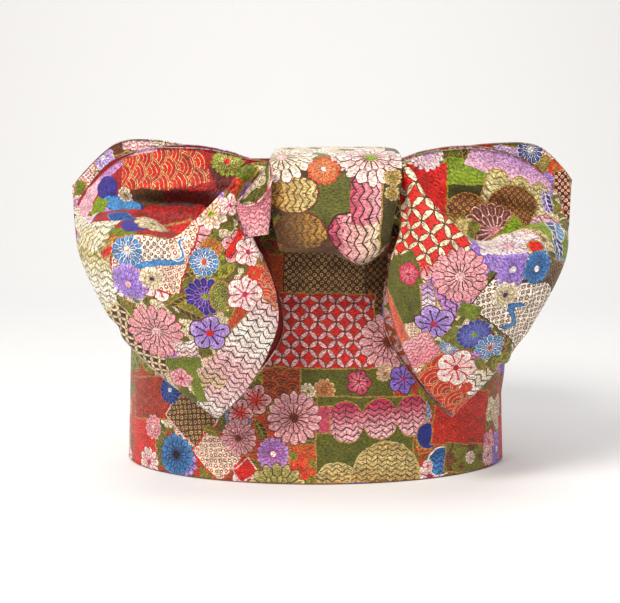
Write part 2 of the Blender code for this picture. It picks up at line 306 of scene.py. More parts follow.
def resample(points, count):
    """So many points on the curve through three, as the solids space them."""
    fine = spline(points, (CURVE_STEPS, CURVE_STEPS))
    return fine[np.round(np.linspace(0, len(fine) - 1, count)).astype(int)]


def back_line(section, side, count):
    return resample([place(getattr(section, key), side) for key in ("top", "middle", "foot")], count)


def knot_line(y, side, count):
    return resample([(knot_edge(side), y, level * MM) for level in KNOT_LEVELS], count)


def front_wing_grid(side, face, back, crisp):
    """A drooping loop: out of the knot along its face, and back behind it."""
    knot = Front("knot", **{key: (0, *KNOT_FRONT[key]) for key in KNOT_FRONT},
                 swell_out=0, swell_back=0, ripple=KNOT_RIPPLE, steps=KNOT_STEPS)
    start = front_line(knot, side, KNOT_CRISP)
    start[:, 0] = knot_edge(side)
    lines = [start] + [front_line(section, side, crisp.get(section.name, 0.0)) for section in face]
    lines += [back_line(section, side, len(start)) for section in back]
    lines.append(knot_line(FRONT_BACK_Y, side, len(start)))
    steps = [section.steps for section in face] + [section.steps for section in back] + [KNOT_STEPS]
    return spline(lines, [step * FINE_ALONG for step in steps])


def rear_wing_grid(side, sections):
    """The loop behind a drooping one: out of the knot, round its end and back."""
    count = sum(REAR_STEPS) * REAR_ACROSS + 1
    lines = [knot_line(REAR_FACE_Y, side, count)]
    lines += [back_line(section, side, count) for section in sections]
    lines.append(knot_line(REAR_BACK_Y, side, count))
    steps = [section.steps for section in sections] + [KNOT_STEPS]
    return spline(lines, [step * FINE_ALONG for step in steps])


def band_grid(turn):
    """One turn of the band. It starts over the turn's end and spirals in under itself."""
    end_trim = TURN_SEAM / BAND_HALF_DEPTH if turn == 0 else 0.0
    swept = (2 * math.pi - end_trim) * np.linspace(0, 1, BAND_SEGMENTS + 1)[:, None]
    dive = np.clip((swept - (2 * math.pi - LAP_ANGLE)) / LAP_ANGLE, 0, 1)
    dive = dive * dive * (3 - 2 * dive)
    angle = FREE_EDGE_ANGLE - swept
    up = BAND_HEIGHT * (np.linspace(0, 1, BAND_ROWS + 1)[None, :] - 0.5)
    inward = WALL / 2 + TURN_LAP * (turn + dive)
    if turn == 0:
        round_it = np.clip(1 - ((angle + 2 * math.pi - SAG_ANGLE) / SAG_HALF_ANGLE) ** 2, 0, None)
        along_it = np.clip(1 - ((up - SAG_LEVEL) / SAG_HALF_HEIGHT) ** 2, 0, None)
        inward = inward - SAG_DEPTH * round_it**2 * along_it**2
    low = (BAND_HEIGHT / 2 - up) / BAND_HEIGHT
    half_width = BAND_HALF_WIDTH + BAND_HEM_FLARE * low**1.5 - inward
    half_depth = BAND_HALF_DEPTH - inward + 0 * up
    points = np.stack([half_width * np.sin(angle), -half_depth * np.cos(angle), up + 0 * angle], axis=2)
    steps = np.linalg.norm(np.diff(points[:, 0], axis=0), axis=1)
    along = np.concatenate([[0.0], np.cumsum(steps)])
    middle = np.interp(FREE_EDGE_ANGLE, swept[:, 0], along)
    cloth = np.stack(np.broadcast_arrays((middle - along)[:, None], up), axis=2)
    return points, cloth


def cover_grid():
    """The strip round the bow's middle, and its cloth coordinates."""
    columns = []
    for share in np.linspace(0, 1, COVER_ACROSS + 1):
        ring = []
        for course in COVER_COURSE:
            x = (course.left + (course.right - course.left) * share) * MM
            away = (x - COVER_SAG_X) / COVER_SAG_HALF
            drop = COVER_SAG * course.sag * math.exp(-away * away)
            y = KNOT_BACK if course.back is None else -course.back * MM
            ring.append((x, y, course.up * MM - drop))
        ring = spline(ring, [COVER_STEPS] * len(ring), closed=True)
        roll = max(1 - min(share, 1 - share) / COVER_ROLL, 0.0) ** 2
        ring[:, 1] += COVER_ROLL_BACK * roll * np.clip((KNOT_BACK - ring[:, 1]) / COVER_DEPTH, 0, 1)
        ring[:, 2] -= COVER_ROLL_DOWN * roll * np.clip((ring[:, 2] - COVER_MIDDLE) / COVER_HALF, -1, 1)
        ring[:, 1] = np.minimum(ring[:, 1], KNOT_BACK)
        columns.append(ring)
    points = np.array(columns).transpose(1, 0, 2)
    middle = points[:, COVER_ACROSS // 2]
    steps = np.linalg.norm(middle - np.roll(middle, 1, axis=0), axis=1)
    steps[0] = 0.0
    along = np.cumsum(steps)
    cloth = np.stack([points[:, :, 0], np.broadcast_to(along[:, None], points.shape[:2])], axis=2)
    return points, cloth


def cuff_grid():
    """The funnel from its mouth to its toe, and its cloth coordinates."""
    columns = []
    for k in range(CUFF_SIDES):
        turn = 2 * math.pi * k / CUFF_SIDES
        line = []
        for ring, dip, shift in zip(CUFF_RINGS, RIM_DIPS, RING_SHIFTS):
            dipped = dip * max(math.sin(turn), 0.0)
            x = ring.x + shift + (ring.long_x - 2 * shift) * math.cos(turn) + RIM_DIP_ASIDE * dipped
            back = ring.back + ring.short * math.sin(turn)
            up = ring.up + ring.long_up * math.cos(turn) - RIM_DIP_DOWN * dipped
            line.append((x * MM, -back * MM, up * MM))
        columns.append(spline(line, [CUFF_STEPS] * (len(line) - 1)))
    points = np.array(columns)
    along = np.linspace(0, CUFF_HEIGHT, points.shape[1])
    around = np.linspace(0, CUFF_GIRTH, CUFF_SIDES)
    cloth = np.stack(np.broadcast_arrays(around[:, None], -along[None, :]), axis=2)
    return points, cloth


def grid_normals(points, closed):
    """Unit normals of a grid of points, from its neighbours on both sides."""
    if closed:
        down = np.roll(points, -1, axis=0) - np.roll(points, 1, axis=0)
    else:
        down = np.gradient(points, axis=0)
    normals = np.cross(down, np.gradient(points, axis=1))
    return normals / (np.linalg.norm(normals, axis=2, keepdims=True) + 1e-12)


def outward(points, closed, flip):
    """The normals on the side that faces away from the wearer."""
    return grid_normals(points, closed) * (-1 if flip else 1)


def quads(rows, columns, closed, shift=0, flip=False):
    """Faces of a grid whose points are numbered row by row."""
    i, j = np.meshgrid(np.arange(rows if closed else rows - 1), np.arange(columns - 1), indexing="ij")
    next_row = (i + 1) % rows
    here, there = i * columns + j, next_row * columns + j
    faces = np.stack([here, here + 1, there + 1, there], axis=-1)
    faces = faces.reshape(-1, 4) + shift
    return faces[:, ::-1] if flip else faces


def mesh_of(name, points, faces, cloth=None):
    """An object in the scene, with its cloth coordinates if it has them."""
    mesh = bpy.data.meshes.new(name)
    mesh.from_pydata(points.tolist(), [], faces.tolist())
    if cloth is not None:
        layer = mesh.uv_layers.new(name="cloth")
        corners = np.empty(len(mesh.loops), np.int32)
        mesh.loops.foreach_get("vertex_index", corners)
        layer.data.foreach_set("uv", cloth[corners].astype(np.float32).ravel())
    piece = bpy.data.objects.new(name, mesh)
    bpy.context.scene.collection.objects.link(piece)
    return piece


def flatten(points, origin, down, along):
    """Cloth coordinates of an open sheet, in metres: conformal, with its origin at one grid point,
    -Y towards the grid point down and true to size up to it, and +X on the side of the grid point along."""
    rows, columns = points.shape[:2]
    sheet = mesh_of("flatten", points.reshape(-1, 3), quads(rows, columns, False))
    bpy.context.view_layer.objects.active = sheet
    sheet.select_set(True)
    sheet.data.uv_layers.new(name="cloth")
    bpy.ops.object.mode_set(mode="EDIT")
    bpy.ops.mesh.select_all(action="SELECT")
    bpy.ops.uv.unwrap(method="CONFORMAL", margin=0.0)
    bpy.ops.object.mode_set(mode="OBJECT")
    corners = np.empty(len(sheet.data.loops), np.int32)
    sheet.data.loops.foreach_get("vertex_index", corners)
    flat = np.empty(len(corners) * 2, np.float32)
    sheet.data.uv_layers["cloth"].data.foreach_get("uv", flat)
    cloth = np.zeros((rows * columns, 2))
    cloth[corners] = flat.reshape(-1, 2)
    cloth = cloth.reshape(rows, columns, 2)
    bpy.data.objects.remove(sheet, do_unlink=True)
    across = np.linalg.norm(points[origin] - points[down])
    cloth -= cloth[origin]
    heading = cloth[down].copy()
    cosine, sine = -heading[1], heading[0]
    turned = np.stack([cosine * cloth[..., 0] + sine * cloth[..., 1],
                       -sine * cloth[..., 0] + cosine * cloth[..., 1]], axis=2)
    cloth = turned * across / (heading @ heading)
    if cloth[along][0] < 0:
        cloth[..., 0] *= -1
    return cloth


# A soft crease: how wide and how high it is in millimetres (below 0 for a trough), how much of a roll
# stands up beside it, and the points that it runs through, in millimetres of cloth. In a Zone below,
# they are places in the picture.
Crease = namedtuple("Crease", "width height roll points")

# Steps between a crease's points, where its rise and fall starts, how full it is between its ends, how
# its width changes along it, and where the roll beside it lies and how wide it is, in crease widths.
CREASE_STEPS = 6
CREASE_START = 0.05
CREASE_TAPER = 0.7
NARROW_END = 0.8
WIDE_END = 1.2
ROLL_PLACE = 1.9
ROLL_WIDTH = 1.2


def creased(points, cloth, creases, closed, flip):
    """The sheet with its listed creases, each fading out at its ends."""
    lift = np.zeros(points.shape[:2])
    for crease in creases:
        line = spline(np.array(crease.points) * MM, [CREASE_STEPS] * (len(crease.points) - 1))
        steps = np.linalg.norm(np.diff(line, axis=0), axis=1)
        starts = np.concatenate([[0.0], np.cumsum(steps)])
        nearest = np.full(points.shape[:2], np.inf)
        side, share = np.zeros_like(nearest), np.zeros_like(nearest)
        for start, end, step, so_far in zip(line, line[1:], steps, starts):
            run = (end - start) / step
            offset = cloth - start
            along = offset @ run
            inside = np.clip(along, 0, step)
            away = np.linalg.norm(offset - inside[..., None] * run, axis=2)
            closer = away < nearest
            nearest = np.where(closer, away, nearest)
            beside = run[0] * offset[..., 1] - run[1] * offset[..., 0]
            side = np.where(closer, np.sign(beside), side)
            share = np.where(closer, (so_far + along) / starts[-1], share)
        through = np.clip(CREASE_START + (1 - 2 * CREASE_START) * share, 0, 1)
        taper = np.sin(math.pi * through) ** CREASE_TAPER
        width = crease.width * MM * (NARROW_END + (WIDE_END - NARROW_END) * np.clip(share, 0, 1))
        distance = side * nearest / width
        shape = np.exp(-distance**2) - crease.roll * np.exp(-((distance - ROLL_PLACE) / ROLL_WIDTH) ** 2)
        lift += crease.height * MM * taper * shape
    return points + outward(points, closed, flip) * lift[..., None]


def shell(name, points, cloth, materials, slot_of, wall=CLOTH, closed=False, flip=False, tip=False,
          hem_slot=-2):
    """A sheet of cloth with rounded edges: its face, its underside and its hem. The last material is
    the underside, and hem_slot picks the hem's."""
    rows, columns = points.shape[:2]
    normals = outward(points, closed, flip)
    outer = (points + normals * wall / 2).reshape(-1, 3)
    inner = (points - normals * wall / 2).reshape(-1, 3)
    index = np.arange(rows * columns).reshape(rows, columns)
    if closed:
        hems = [np.append(index[:, 0], index[0, 0])]
        inward = [np.append(index[:, 1], index[0, 1])]
        if not tip:
            hems.append(np.append(index[:, -1], index[0, -1])[::-1])
            inward.append(np.append(index[:, -2], index[0, -2])[::-1])
    else:
        hems = [np.concatenate([index[:, 0], index[-1, 1:], index[-2::-1, -1], index[0, -2::-1]])]
        inward = [np.concatenate([index[:, 1], index[-2, 1:], index[-2::-1, -2], index[1, -2::-1]])]
    flat = points.reshape(-1, 3)
    vertices, coordinates = [outer, inner], [cloth.reshape(-1, 2)] * 2
    faces = [quads(rows, columns, closed, 0, flip), quads(rows, columns, closed, rows * columns, not flip)]
    kinds = [slot_of.reshape(-1), np.full(len(faces[1]), len(materials) - 1)]
    start = 2 * rows * columns
    for hem, beside in zip(hems, inward):
        out = flat[hem] - flat[beside]
        out /= np.linalg.norm(out, axis=1, keepdims=True) + 1e-12
        loop = hem[:-1]
        vertices.append(flat[loop] + out[:-1] * wall / 2)
        coordinates.append(cloth.reshape(-1, 2)[loop])
        count = len(loop)
        here = np.arange(count)
        there = (here + 1) % count
        middle = start + here, start + there
        upper = np.stack([loop[here], loop[there], middle[1], middle[0]], axis=1)
        behind = loop + rows * columns
        lower = np.stack([middle[0], middle[1], behind[there], behind[here]], axis=1)
        both = np.concatenate([upper, lower])
        faces.append(both if flip else both[:, ::-1])
        kinds.append(np.full(len(both), range(len(materials))[hem_slot]))
        start += count
    piece = mesh_of(name, np.concatenate(vertices), np.concatenate(faces), np.concatenate(coordinates))
    for material in materials:
        piece.data.materials.append(material)
    piece.data.polygons.foreach_set("material_index", np.concatenate(kinds).astype(np.int32))
    piece.data.shade_smooth()
    return piece


# Threads of the brocade, as they look in daylight.
THREADS = dict(
    white="f4ebe2", ivory="e6d8bc", cream="cfc08a", gold="b8964f", old_gold="6d5123", brown="7c4320",
    olive="747818", leaf="818c1e", lime="96ae20", moss="4b4714", red="bd1508", scarlet="dd270e",
    maroon="480b14", orange="d6602e", pink="eaa5ae", rose="c63b66", blush="ecc0c2", lilac="c6abdd",
    violet="9a7ccd", mauve="bf90cc", sky="5b9fcf", blue="2c6ca6", navy="1c2492", ink="27141a",
)


def linear(name):
    """A thread's colour for a shader."""
    code = THREADS[name]
    values = [int(code[k : k + 2], 16) / 255 for k in (0, 2, 4)]
    return (*(v / 12.92 if v <= 0.04045 else ((v + 0.055) / 1.055) ** 2.4 for v in values), 1.0)


class Wire:
    """One output of a shader node. Arithmetic on it makes Math nodes in its tree."""

    def __init__(self, socket):
        self.socket = socket

    def __add__(self, other):
        return calc("ADD", self, other)

    def __sub__(self, other):
        return calc("SUBTRACT", self, other)

    def __rsub__(self, other):
        return calc("SUBTRACT", other, self)

    def __mul__(self, other):
        return calc("MULTIPLY", self, other)

    def __truediv__(self, other):
        return calc("DIVIDE", self, other)

    def __rtruediv__(self, other):
        return calc("DIVIDE", other, self)

    __radd__ = __add__
    __rmul__ = __mul__


def fill_socket(socket, value):
    if isinstance(value, Wire):
        socket.id_data.links.new(value.socket, socket)
    else:
        socket.default_value = value


def calc(operation, *values):
    """The result of a Math node."""
    tree = next(value for value in values if isinstance(value, Wire)).socket.id_data
    node = tree.nodes.new("ShaderNodeMath")
    node.operation = operation
    for socket, value in zip(node.inputs, values):
        fill_socket(socket, value)
    return Wire(node.outputs[0])


def below(value, limit):
    return calc("LESS_THAN", value, limit)


def above(value, limit):
    return calc("GREATER_THAN", value, limit)


def low(a, b):
    return calc("MINIMUM", a, b)


def high(a, b):
    return calc("MAXIMUM", a, b)


def fold(value, half_period):
    """Up from 0 to half the period, and back down."""
    return calc("PINGPONG", value, half_period)


def split(vector):
    node = vector.socket.id_data.nodes.new("ShaderNodeSeparateXYZ")
    fill_socket(node.inputs[0], vector)
    return Wire(node.outputs[0]), Wire(node.outputs[1])


def join(x, y):
    tree = (x if isinstance(x, Wire) else y).socket.id_data
    node = tree.nodes.new("ShaderNodeCombineXYZ")
    fill_socket(node.inputs[0], x)
    fill_socket(node.inputs[1], y)
    return Wire(node.outputs[0])


def span(vector, centre=(0, 0, 0)):
    """How far a point is from a centre."""
    node = vector.socket.id_data.nodes.new("ShaderNodeVectorMath")
    node.operation = "DISTANCE"
    fill_socket(node.inputs[0], vector)
    fill_socket(node.inputs[1], centre)
    return Wire(node.outputs["Value"])


def seen_from(vector, centre, turn=0.0, size=(1.0, 1.0)):
    """A point in the coordinates of a motif: moved, turned and scaled."""
    node = vector.socket.id_data.nodes.new("ShaderNodeMapping")
    node.vector_type = "TEXTURE"
    fill_socket(node.inputs["Vector"], vector)
    node.inputs["Location"].default_value = (*centre, 0.0)
    node.inputs["Rotation"].default_value = (0.0, 0.0, turn)
    node.inputs["Scale"].default_value = (*size, 1.0)
    return Wire(node.outputs[0])


def scaled(vector, amount):
    """A vector or a colour times a number."""
    node = vector.socket.id_data.nodes.new("ShaderNodeVectorMath")
    node.operation = "SCALE"
    fill_socket(node.inputs[0], vector)
    fill_socket(node.inputs["Scale"], amount)
    return Wire(node.outputs[0])


def blend(share, first, second):
    """Between two colours, where share goes from 0 to 1."""
    wire = next(value for value in (share, first, second) if isinstance(value, Wire))
    node = wire.socket.id_data.nodes.new("ShaderNodeMix")
    node.data_type = "RGBA"
    fill_socket(node.inputs[0], share)
    fill_socket(node.inputs[6], first)
    fill_socket(node.inputs[7], second)
    return Wire(node.outputs[2])


def group(name, takes, gives, body):
    """A node group whose named sockets are the arguments and the results of body."""
    tree = bpy.data.node_groups.new(name, "ShaderNodeTree")
    for sockets, way in ((takes, "INPUT"), (gives, "OUTPUT")):
        for label, kind in sockets.items():
            tree.interface.new_socket(label, in_out=way, socket_type="NodeSocket" + kind)
    source = tree.nodes.new("NodeGroupInput")
    drain = tree.nodes.new("NodeGroupOutput")
    results = body(*[Wire(source.outputs[label]) for label in takes])
    for label, result in zip(gives, results):
        fill_socket(drain.inputs[label], result)
    return tree


def use(tree, pattern, *values):
    """The results of a node group."""
    node = tree.nodes.new("ShaderNodeGroup")
    node.node_tree = pattern
    for socket, value in zip(node.inputs, values):
        fill_socket(socket, value)
    return [Wire(output) for output in node.outputs]


# A motif takes a point in its own coordinates, where its radius is 1, and gives its colour,
# where it is, and how much of it is gold thread. A filling takes a point in metres.
MOTIF = dict(Point="Vector", Edge="Color", Middle="Color", Heart="Color", Line="Color")
FILLING = dict(Point="Vector", First="Color", Second="Color", Line="Color", Size="Float")
PAINT = dict(Colour="Color", Mask="Float", Gold="Float")
COAT = dict(Colour="Color", Gold="Float")


# How much of each pattern's lines is gold thread.
GOLD = dict(kiku=0.7, ume=0.7, leaf=0.6, seigaiha=0.6, shippo=0.6, kanoko=0.5, chevron=0.3, florets=0.7)


def kiku(count):
    """A chrysanthemum: two rings of petals, outlined, round a small heart."""
    petal_turn = 2 * math.pi / count
    tip_dip = 0.75
    ring_reach = 0.58
    ring_dip = 0.45
    heart_reach = 0.17
    seam_width = 0.021
    outline_width = 0.034
    vein_width = 0.09
    vein_end = 0.16
    vein_depth = 0.25
    shade_slope = 1.9
    shade_start = -0.75
    ring_shade = 0.45

    def body(point, edge, middle, heart, line):
        x, y = split(point)
        radius = span(point)
        turns = calc("ARCTAN2", y, x) * (1 / petal_turn)
        outer = fold(turns, 0.5)
        inner = fold(turns + 0.5, 0.5)
        rim = 1.0 - outer * outer * tip_dip
        ring = ring_reach - inner * inner * ring_dip
        flower = below(radius, rim)
        in_ring = below(radius, ring)
        petal = outer + (inner - outer) * in_ring
        side = (0.5 - petal) * radius * petal_turn
        limit = rim + (ring - rim) * in_ring
        vein = below(petal, vein_width) * below(radius, limit - vein_end)
        outline = below(limit - radius, outline_width)
        lines = high(below(side, seam_width), high(outline, vein * vein_depth))
        shade = calc("MULTIPLY_ADD", radius, shade_slope, shade_start)
        shade = low(high(shade + in_ring * ring_shade, 0.0), 1.0)
        colour = blend(shade, middle, edge)
        colour = blend(lines, colour, line)
        core = below(radius, heart_reach)
        return blend(core, colour, heart), flower, lines * GOLD["kiku"]

    return group("kiku_%d" % count, MOTIF, PAINT, body)


def ume():
    """A plum blossom: five round petals and their stamens."""
    petals = 5
    petal_turn = 2 * math.pi / petals
    petal_centre = 0.55
    petal_radius = 0.45
    outline_start = 0.40
    middle_reach = 0.42
    seam_width = 0.03
    seam_start = 0.3
    stamen_width = 0.03
    stamen_reach = 0.6
    dot_centre = 0.66
    dot_radius = 0.07
    heart_reach = 0.16
    shade_slope = 1.1

    def body(point, edge, middle, heart, line):
        x, y = split(point)
        radius = span(point)
        turns = calc("ARCTAN2", y, x) * (1 / petal_turn)
        swing = fold(turns, 0.5) * petal_turn
        out = radius * calc("COSINE", swing)
        beside = radius * calc("SINE", swing)
        away = span(join(out, beside), (petal_centre, 0.0, 0.0))
        side = radius * calc("SINE", petal_turn / 2 - swing)
        flower = high(below(away, petal_radius), below(radius, middle_reach))
        outline = above(away, outline_start) * above(radius, middle_reach)
        lines = high(outline, below(side, seam_width) * above(radius, seam_start))
        stamens = below(beside, stamen_width) * below(radius, stamen_reach)
        dots = below(span(join(out, beside), (dot_centre, 0.0, 0.0)), dot_radius)
        colour = blend(low(radius * shade_slope, 1.0), middle, edge)
        colour = blend(high(lines, high(stamens, dots)), colour, line)
        colour = blend(below(radius, heart_reach), colour, heart)
        return colour, flower, high(stamens, lines) * GOLD["ume"]

    return group("ume", MOTIF, PAINT, body)


def leaf():
    """A long leaf with its midrib and side veins."""
    half_width = 0.42
    veins_along = 3.0
    vein_slant = -2.4
    vein_width = 0.09
    midrib_width = 0.045
    outline_width = 0.05

    def body(point, edge, middle, heart, line):
        x, y = split(point)
        across = calc("ABSOLUTE", y)
        width = (1.0 - x * x) * half_width
        inside = below(across, width)
        veins = below(fold(x * veins_along + across * vein_slant, 0.5), vein_width)
        lines = high(high(below(across, midrib_width), below(width - across, outline_width)), veins)
        colour = blend(above(y, 0.0), middle, edge)
        return blend(lines, colour, line), inside, lines * GOLD["leaf"]

    return group("leaf", MOTIF, PAINT, body)


def seigaiha():
    """Overlapping waves: rows of concentric arcs, each row in front of the one above it."""
    arcs = 4.0
    arc_start = 0.42
    rim_start = 0.965

    def body(point, first, second, line, size):
        x, y = split(point)
        x, y = x / size, y / size
        row = calc("CEIL", (y - 1.0) * 2.0)
        distance = None
        for step in (2, 1, 0):
            this = row + float(step)
            beside = fold(x + this, 1.0)
            here = span(join(beside, y - this * 0.5))
            if distance is None:
                distance = here
            else:
                distance = distance + (here - distance) * below(here, 1.0)
        ring = fold(distance * arcs, 0.5)
        lines = high(above(ring, arc_start), above(distance, rim_start))
        colour = blend(distance, first, second)
        return blend(lines, colour, line), lines * GOLD["seigaiha"]

    return group("seigaiha", FILLING, COAT, body)


def shippo():
    """Linked circles: four pointed petals round each star."""
    petal_edge = 0.93
    outline_edge = 1.02
    vein_width = 0.07
    vein_depth = 0.5
    dot_half = 0.20
    ring_half = 0.30
    petal_gold = 0.5

    def body(point, first, second, line, size):
        x, y = split(point)
        x, y = fold(x / size, 1.0), fold(y / size, 1.0)
        outside = high(span(join(x, y)), span(join(1.0 - x, 1.0 - y)))
        petal = below(outside, petal_edge)
        lines = below(outside, outline_edge) - petal
        vein = below(calc("ABSOLUTE", x + y - 1.0), vein_width) * petal
        lower, upper = high(1.0 - x, y), high(x, 1.0 - y)
        dot = high(below(lower, dot_half), below(upper, dot_half))
        ring = high(below(lower, ring_half), below(upper, ring_half)) - dot
        colour = blend(petal, first, second)
        colour = blend(high(ring, vein * vein_depth), colour, second)
        return blend(lines, colour, line), high(petal * petal_gold, lines * GOLD["shippo"])

    return group("shippo", FILLING, COAT, body)


def kanoko():
    """Tie-dye dots: small rings in staggered rows."""
    hole_radius = 0.24
    ring_radius = 0.50
    dot_radius = 0.58

    def body(point, first, second, line, size):
        x, y = split(point)
        x, y = fold(x / size, 1.0), fold(y / size, 1.0)
        near = low(span(join(x, y)), span(join(1.0 - x, 1.0 - y)))
        ring = below(near, ring_radius) - below(near, hole_radius)
        colour = blend(below(near, dot_radius), first, second)
        return blend(ring, colour, line), ring * GOLD["kanoko"]

    return group("kanoko", FILLING, COAT, body)


def chevron():
    """Zigzag ribs that shade from one colour to the other, each with a painted highlight across it that
    darkens towards its edges.
    """
    rise = 1.3
    colour_pace = 0.45
    rib_line = 0.19
    joint_width = 0.06
    joint_reach = 0.6
    # Where across a rib its painted highlight is brightest, how bright it is there, and how fast it fades.
    painted_highlight_place = 0.6
    painted_highlight_peak = 1.1
    fading = -0.5
    ground_gold = 0.15

    def body(point, first, second, line, size):
        x, y = split(point)
        x, y = x / size, y / size
        zigzag = y + fold(x * 0.5, 0.5) * rise
        rib = calc("FRACT", zigzag)
        step = calc("FLOOR", zigzag)
        shade = calc("MULTIPLY_ADD", calc("SINE", step * colour_pace), 0.5, 0.5)
        joint = below(fold(x, 1.0), joint_width)
        lines = high(below(rib, rib_line), joint * below(fold(y, 1.0), joint_reach))
        # Painted highlight: each rib is scaled lighter near its bright line and darker towards its edges,
        # as if light caught its round.
        sheen = calc("MULTIPLY_ADD", calc("ABSOLUTE", rib - painted_highlight_place), fading, painted_highlight_peak)
        colour = scaled(blend(shade, first, second), sheen)
        return blend(lines, colour, line), high(lines * GOLD["chevron"], ground_gold)

    return group("chevron", FILLING, COAT, body)


def satin():
    """A plain ground with faint twill."""
    slant = 0.6
    pitch = 0.22
    twill_depth = 0.35
    most_gold = 0.12

    def body(point, first, second, line, size):
        x, y = split(point)
        twill = fold((x + y * slant) / (size * pitch), 0.5) * 2.0
        return blend(twill * twill_depth, first, second), low(twill, most_gold)

    return group("satin", FILLING, COAT, body)


def florets():
    """A scatter of small leaves and petals, each outlined in gold."""
    turn = 0.4
    rings_each = 3.4
    line_width = 0.09
    second_share = 0.5
    leaf_start = 0.8

    def body(point, first, second, line, size):
        cells = point.socket.id_data.nodes.new("ShaderNodeTexVoronoi")
        cells.voronoi_dimensions = "2D"
        fill_socket(cells.inputs["Vector"], seen_from(point, (0.0, 0.0), turn))
        fill_socket(cells.inputs["Scale"], 1.0 / size)
        pick, where = split(Wire(cells.outputs["Color"]))
        rings = fold(Wire(cells.outputs["Distance"]) * rings_each, 0.5)
        lines = below(rings, line_width)
        colour = blend(above(pick, second_share), first, second)
        colour = blend(above(where, leaf_start), colour, linear("leaf"))
        return blend(lines, colour, line), lines * GOLD["florets"]

    return group("florets", FILLING, COAT, body)


MOTIFS = dict(kiku=kiku(16), daisy=kiku(10), ume=ume(), leaf=leaf())
FILLINGS = dict(seigaiha=seigaiha(), shippo=shippo(), kanoko=kanoko(), chevron=chevron(), satin=satin(),
                florets=florets())


# A patch of ground: its centre, half sizes and turn in degrees, the filling and its scale in millimetres,
# the filling's three threads, with a fourth where the patch has an edge, and its shape. The centre and
# half sizes are in millimetres of cloth. In a Zone they are in the picture's pixels, as a stamp's are.
Patch = namedtuple("Patch", "x y wide high turn filling size threads shape", defaults=["card"])

# One motif: its centre, radius and turn, and its threads from the petals' ends to their outline.
Stamp = namedtuple("Stamp", "motif x y radius turn threads")

# A stretch of cloth that the picture shows: a place in its middle, its layers and its creases.
Zone = namedtuple("Zone", "middle layers creases")

# How the cloth under a place is found: the pixels to each side that its run is measured over, the most
# millimetres that it may run in a pixel, and the steps towards the middle from a place off the cloth.
RUN_REACH = 2
STEEPEST = 4.0
WALK_STEPS = 60

# A crease moves the cloth that the picture shows there, so its place is found again this many times.
CREASE_ROUNDS = 3

# The width of a patch's edge in millimetres, and the lobes along a cloud.
EDGE_WIDTH = 1.3
LOBE_COUNT = 3

# A stream's bends along its length and how far they swing, in its half sizes.
STREAM_BENDS = 1.1
STREAM_SWING = 1.6

# How far weaving and wear pull the pattern about, over what length, and how finely.
PULL = 0.0016
PULL_LENGTH = 0.012
PULL_DETAIL = 1.5

# The threads' streaks: each one's turn in degrees, its length and width, and its detail.
Streak = namedtuple("Streak", "turn long short detail")
WEFT = Streak(8, 0.0026, 0.0011, 1.0)
FINE = Streak(98, 0.0012, 0.0006, 0.0)
PATCHY_TONE_AND_LIGHT = Streak(0, 0.011, 0.008, 2.0)
STREAK_CONTRAST = 2.8
STREAK_START = -0.9

# How much of the grain is weft, fine thread and rib, and how it darkens and lightens the cloth's colour:
# the threads' random tone, with painted shade where the grain's relief is low, and painted patches of light
# and shade.
WEFT_SHARE = 0.68
FINE_SHARE = 0.2
RIB_SHARE = 0.12
PAINTED_THREAD_SHADE_CONTRAST = 1.15
PAINTED_THREAD_SHADE_START = 0.36
PATCHY_TONE_AND_LIGHT_CONTRAST = 0.34
PATCHY_TONE_AND_LIGHT_START = 0.83

# The relief of the threads and of the stitched lines between them.
RELIEF_STRENGTH = 0.75
RELIEF_HEIGHT = 0.0007
STITCH_SINK = 0.5

# Silk, and how much more metallic and smoother gold thread is.
ROUGHNESS = 0.5
GOLD_SMOOTHER = -0.16
GOLD_METALLIC = 0.5
SHEEN = 0.12
SHEEN_ROUGHNESS = 0.4
SPECULAR = 0.4

# The stitched lines: their length and turn, how much they are squashed, how wide and deep they are.
STITCH_LENGTH = 0.0068
STITCH_TURN = 0.5
STITCH_SQUASH = 0.7
STITCH_WIDTH = 0.07
STITCH_DEPTH = 0.26

# The slanting ribs' pitch, the darkest that the painted shade of a thread goes, and the power that deepens
# the dyes and leaves the whites as they are.
RIB_PITCH = 0.0013
DARKEST_PAINTED_THREAD_SHADE = 0.12
DYE_DEPTH = 1.32


class Seen:
    """A sheet as the camera sees it, which finds the cloth under a place in the picture."""

    def __init__(self, points, cloth, closed, flip):
        outer = points + outward(points, closed, flip) * CLOTH / 2
        self.vertices = [Vector(vertex) for vertex in outer.reshape(-1, 3).tolist()]
        self.faces = quads(*points.shape[:2], closed).tolist()
        self.tree = BVHTree.FromPolygons(self.vertices, self.faces)
        self.cloth = cloth.reshape(-1, 2) / MM

    def under(self, spot):
        """The cloth under a place, in millimetres, or None beside the sheet."""
        ray = RIGHTWARD * (spot[0] - CENTRE_X) + UPWARD * (CENTRE_Y - spot[1]) - BACKWARD * FOCUS
        struck, _, face, _ = self.tree.ray_cast(AIM + BACKWARD * DISTANCE, ray.normalized())
        if face is None:
            return None
        corners = self.faces[face]
        return np.array(poly_3d_calc([self.vertices[k] for k in corners], struck)) @ self.cloth[corners]

    def run(self, spot, here, way):
        """How far the cloth runs in a pixel, from both sides of the place or from the one on the sheet."""
        ahead = self.under(spot + way * RUN_REACH)
        behind = self.under(spot - way * RUN_REACH)
        sides = (ahead is not None) + (behind is not None)
        if not sides:
            return None
        ahead = here if ahead is None else ahead
        behind = here if behind is None else behind
        return (ahead - behind) / (RUN_REACH * sides)

    def frame(self, spot, middle):
        """The cloth at a place, and its run in a pixel to the right and up. For a place off the sheet, both
        are those of the nearest cloth towards the middle, carried on."""
        spot, middle = np.array(spot, float), np.array(middle, float)
        for share in np.linspace(0, 1, WALK_STEPS, endpoint=False):
            near = spot + (middle - spot) * share
            here = self.under(near)
            if here is None:
                continue
            runs = [self.run(near, here, np.array(way)) for way in ((1, 0), (0, -1))]
            if all(run is not None and np.linalg.norm(run) <= STEEPEST for run in runs):
                right, up = runs
                return here + right * (spot - near)[0] + up * (near - spot)[1], right, up
        raise ValueError("no cloth between %s and %s" % (spot, middle))


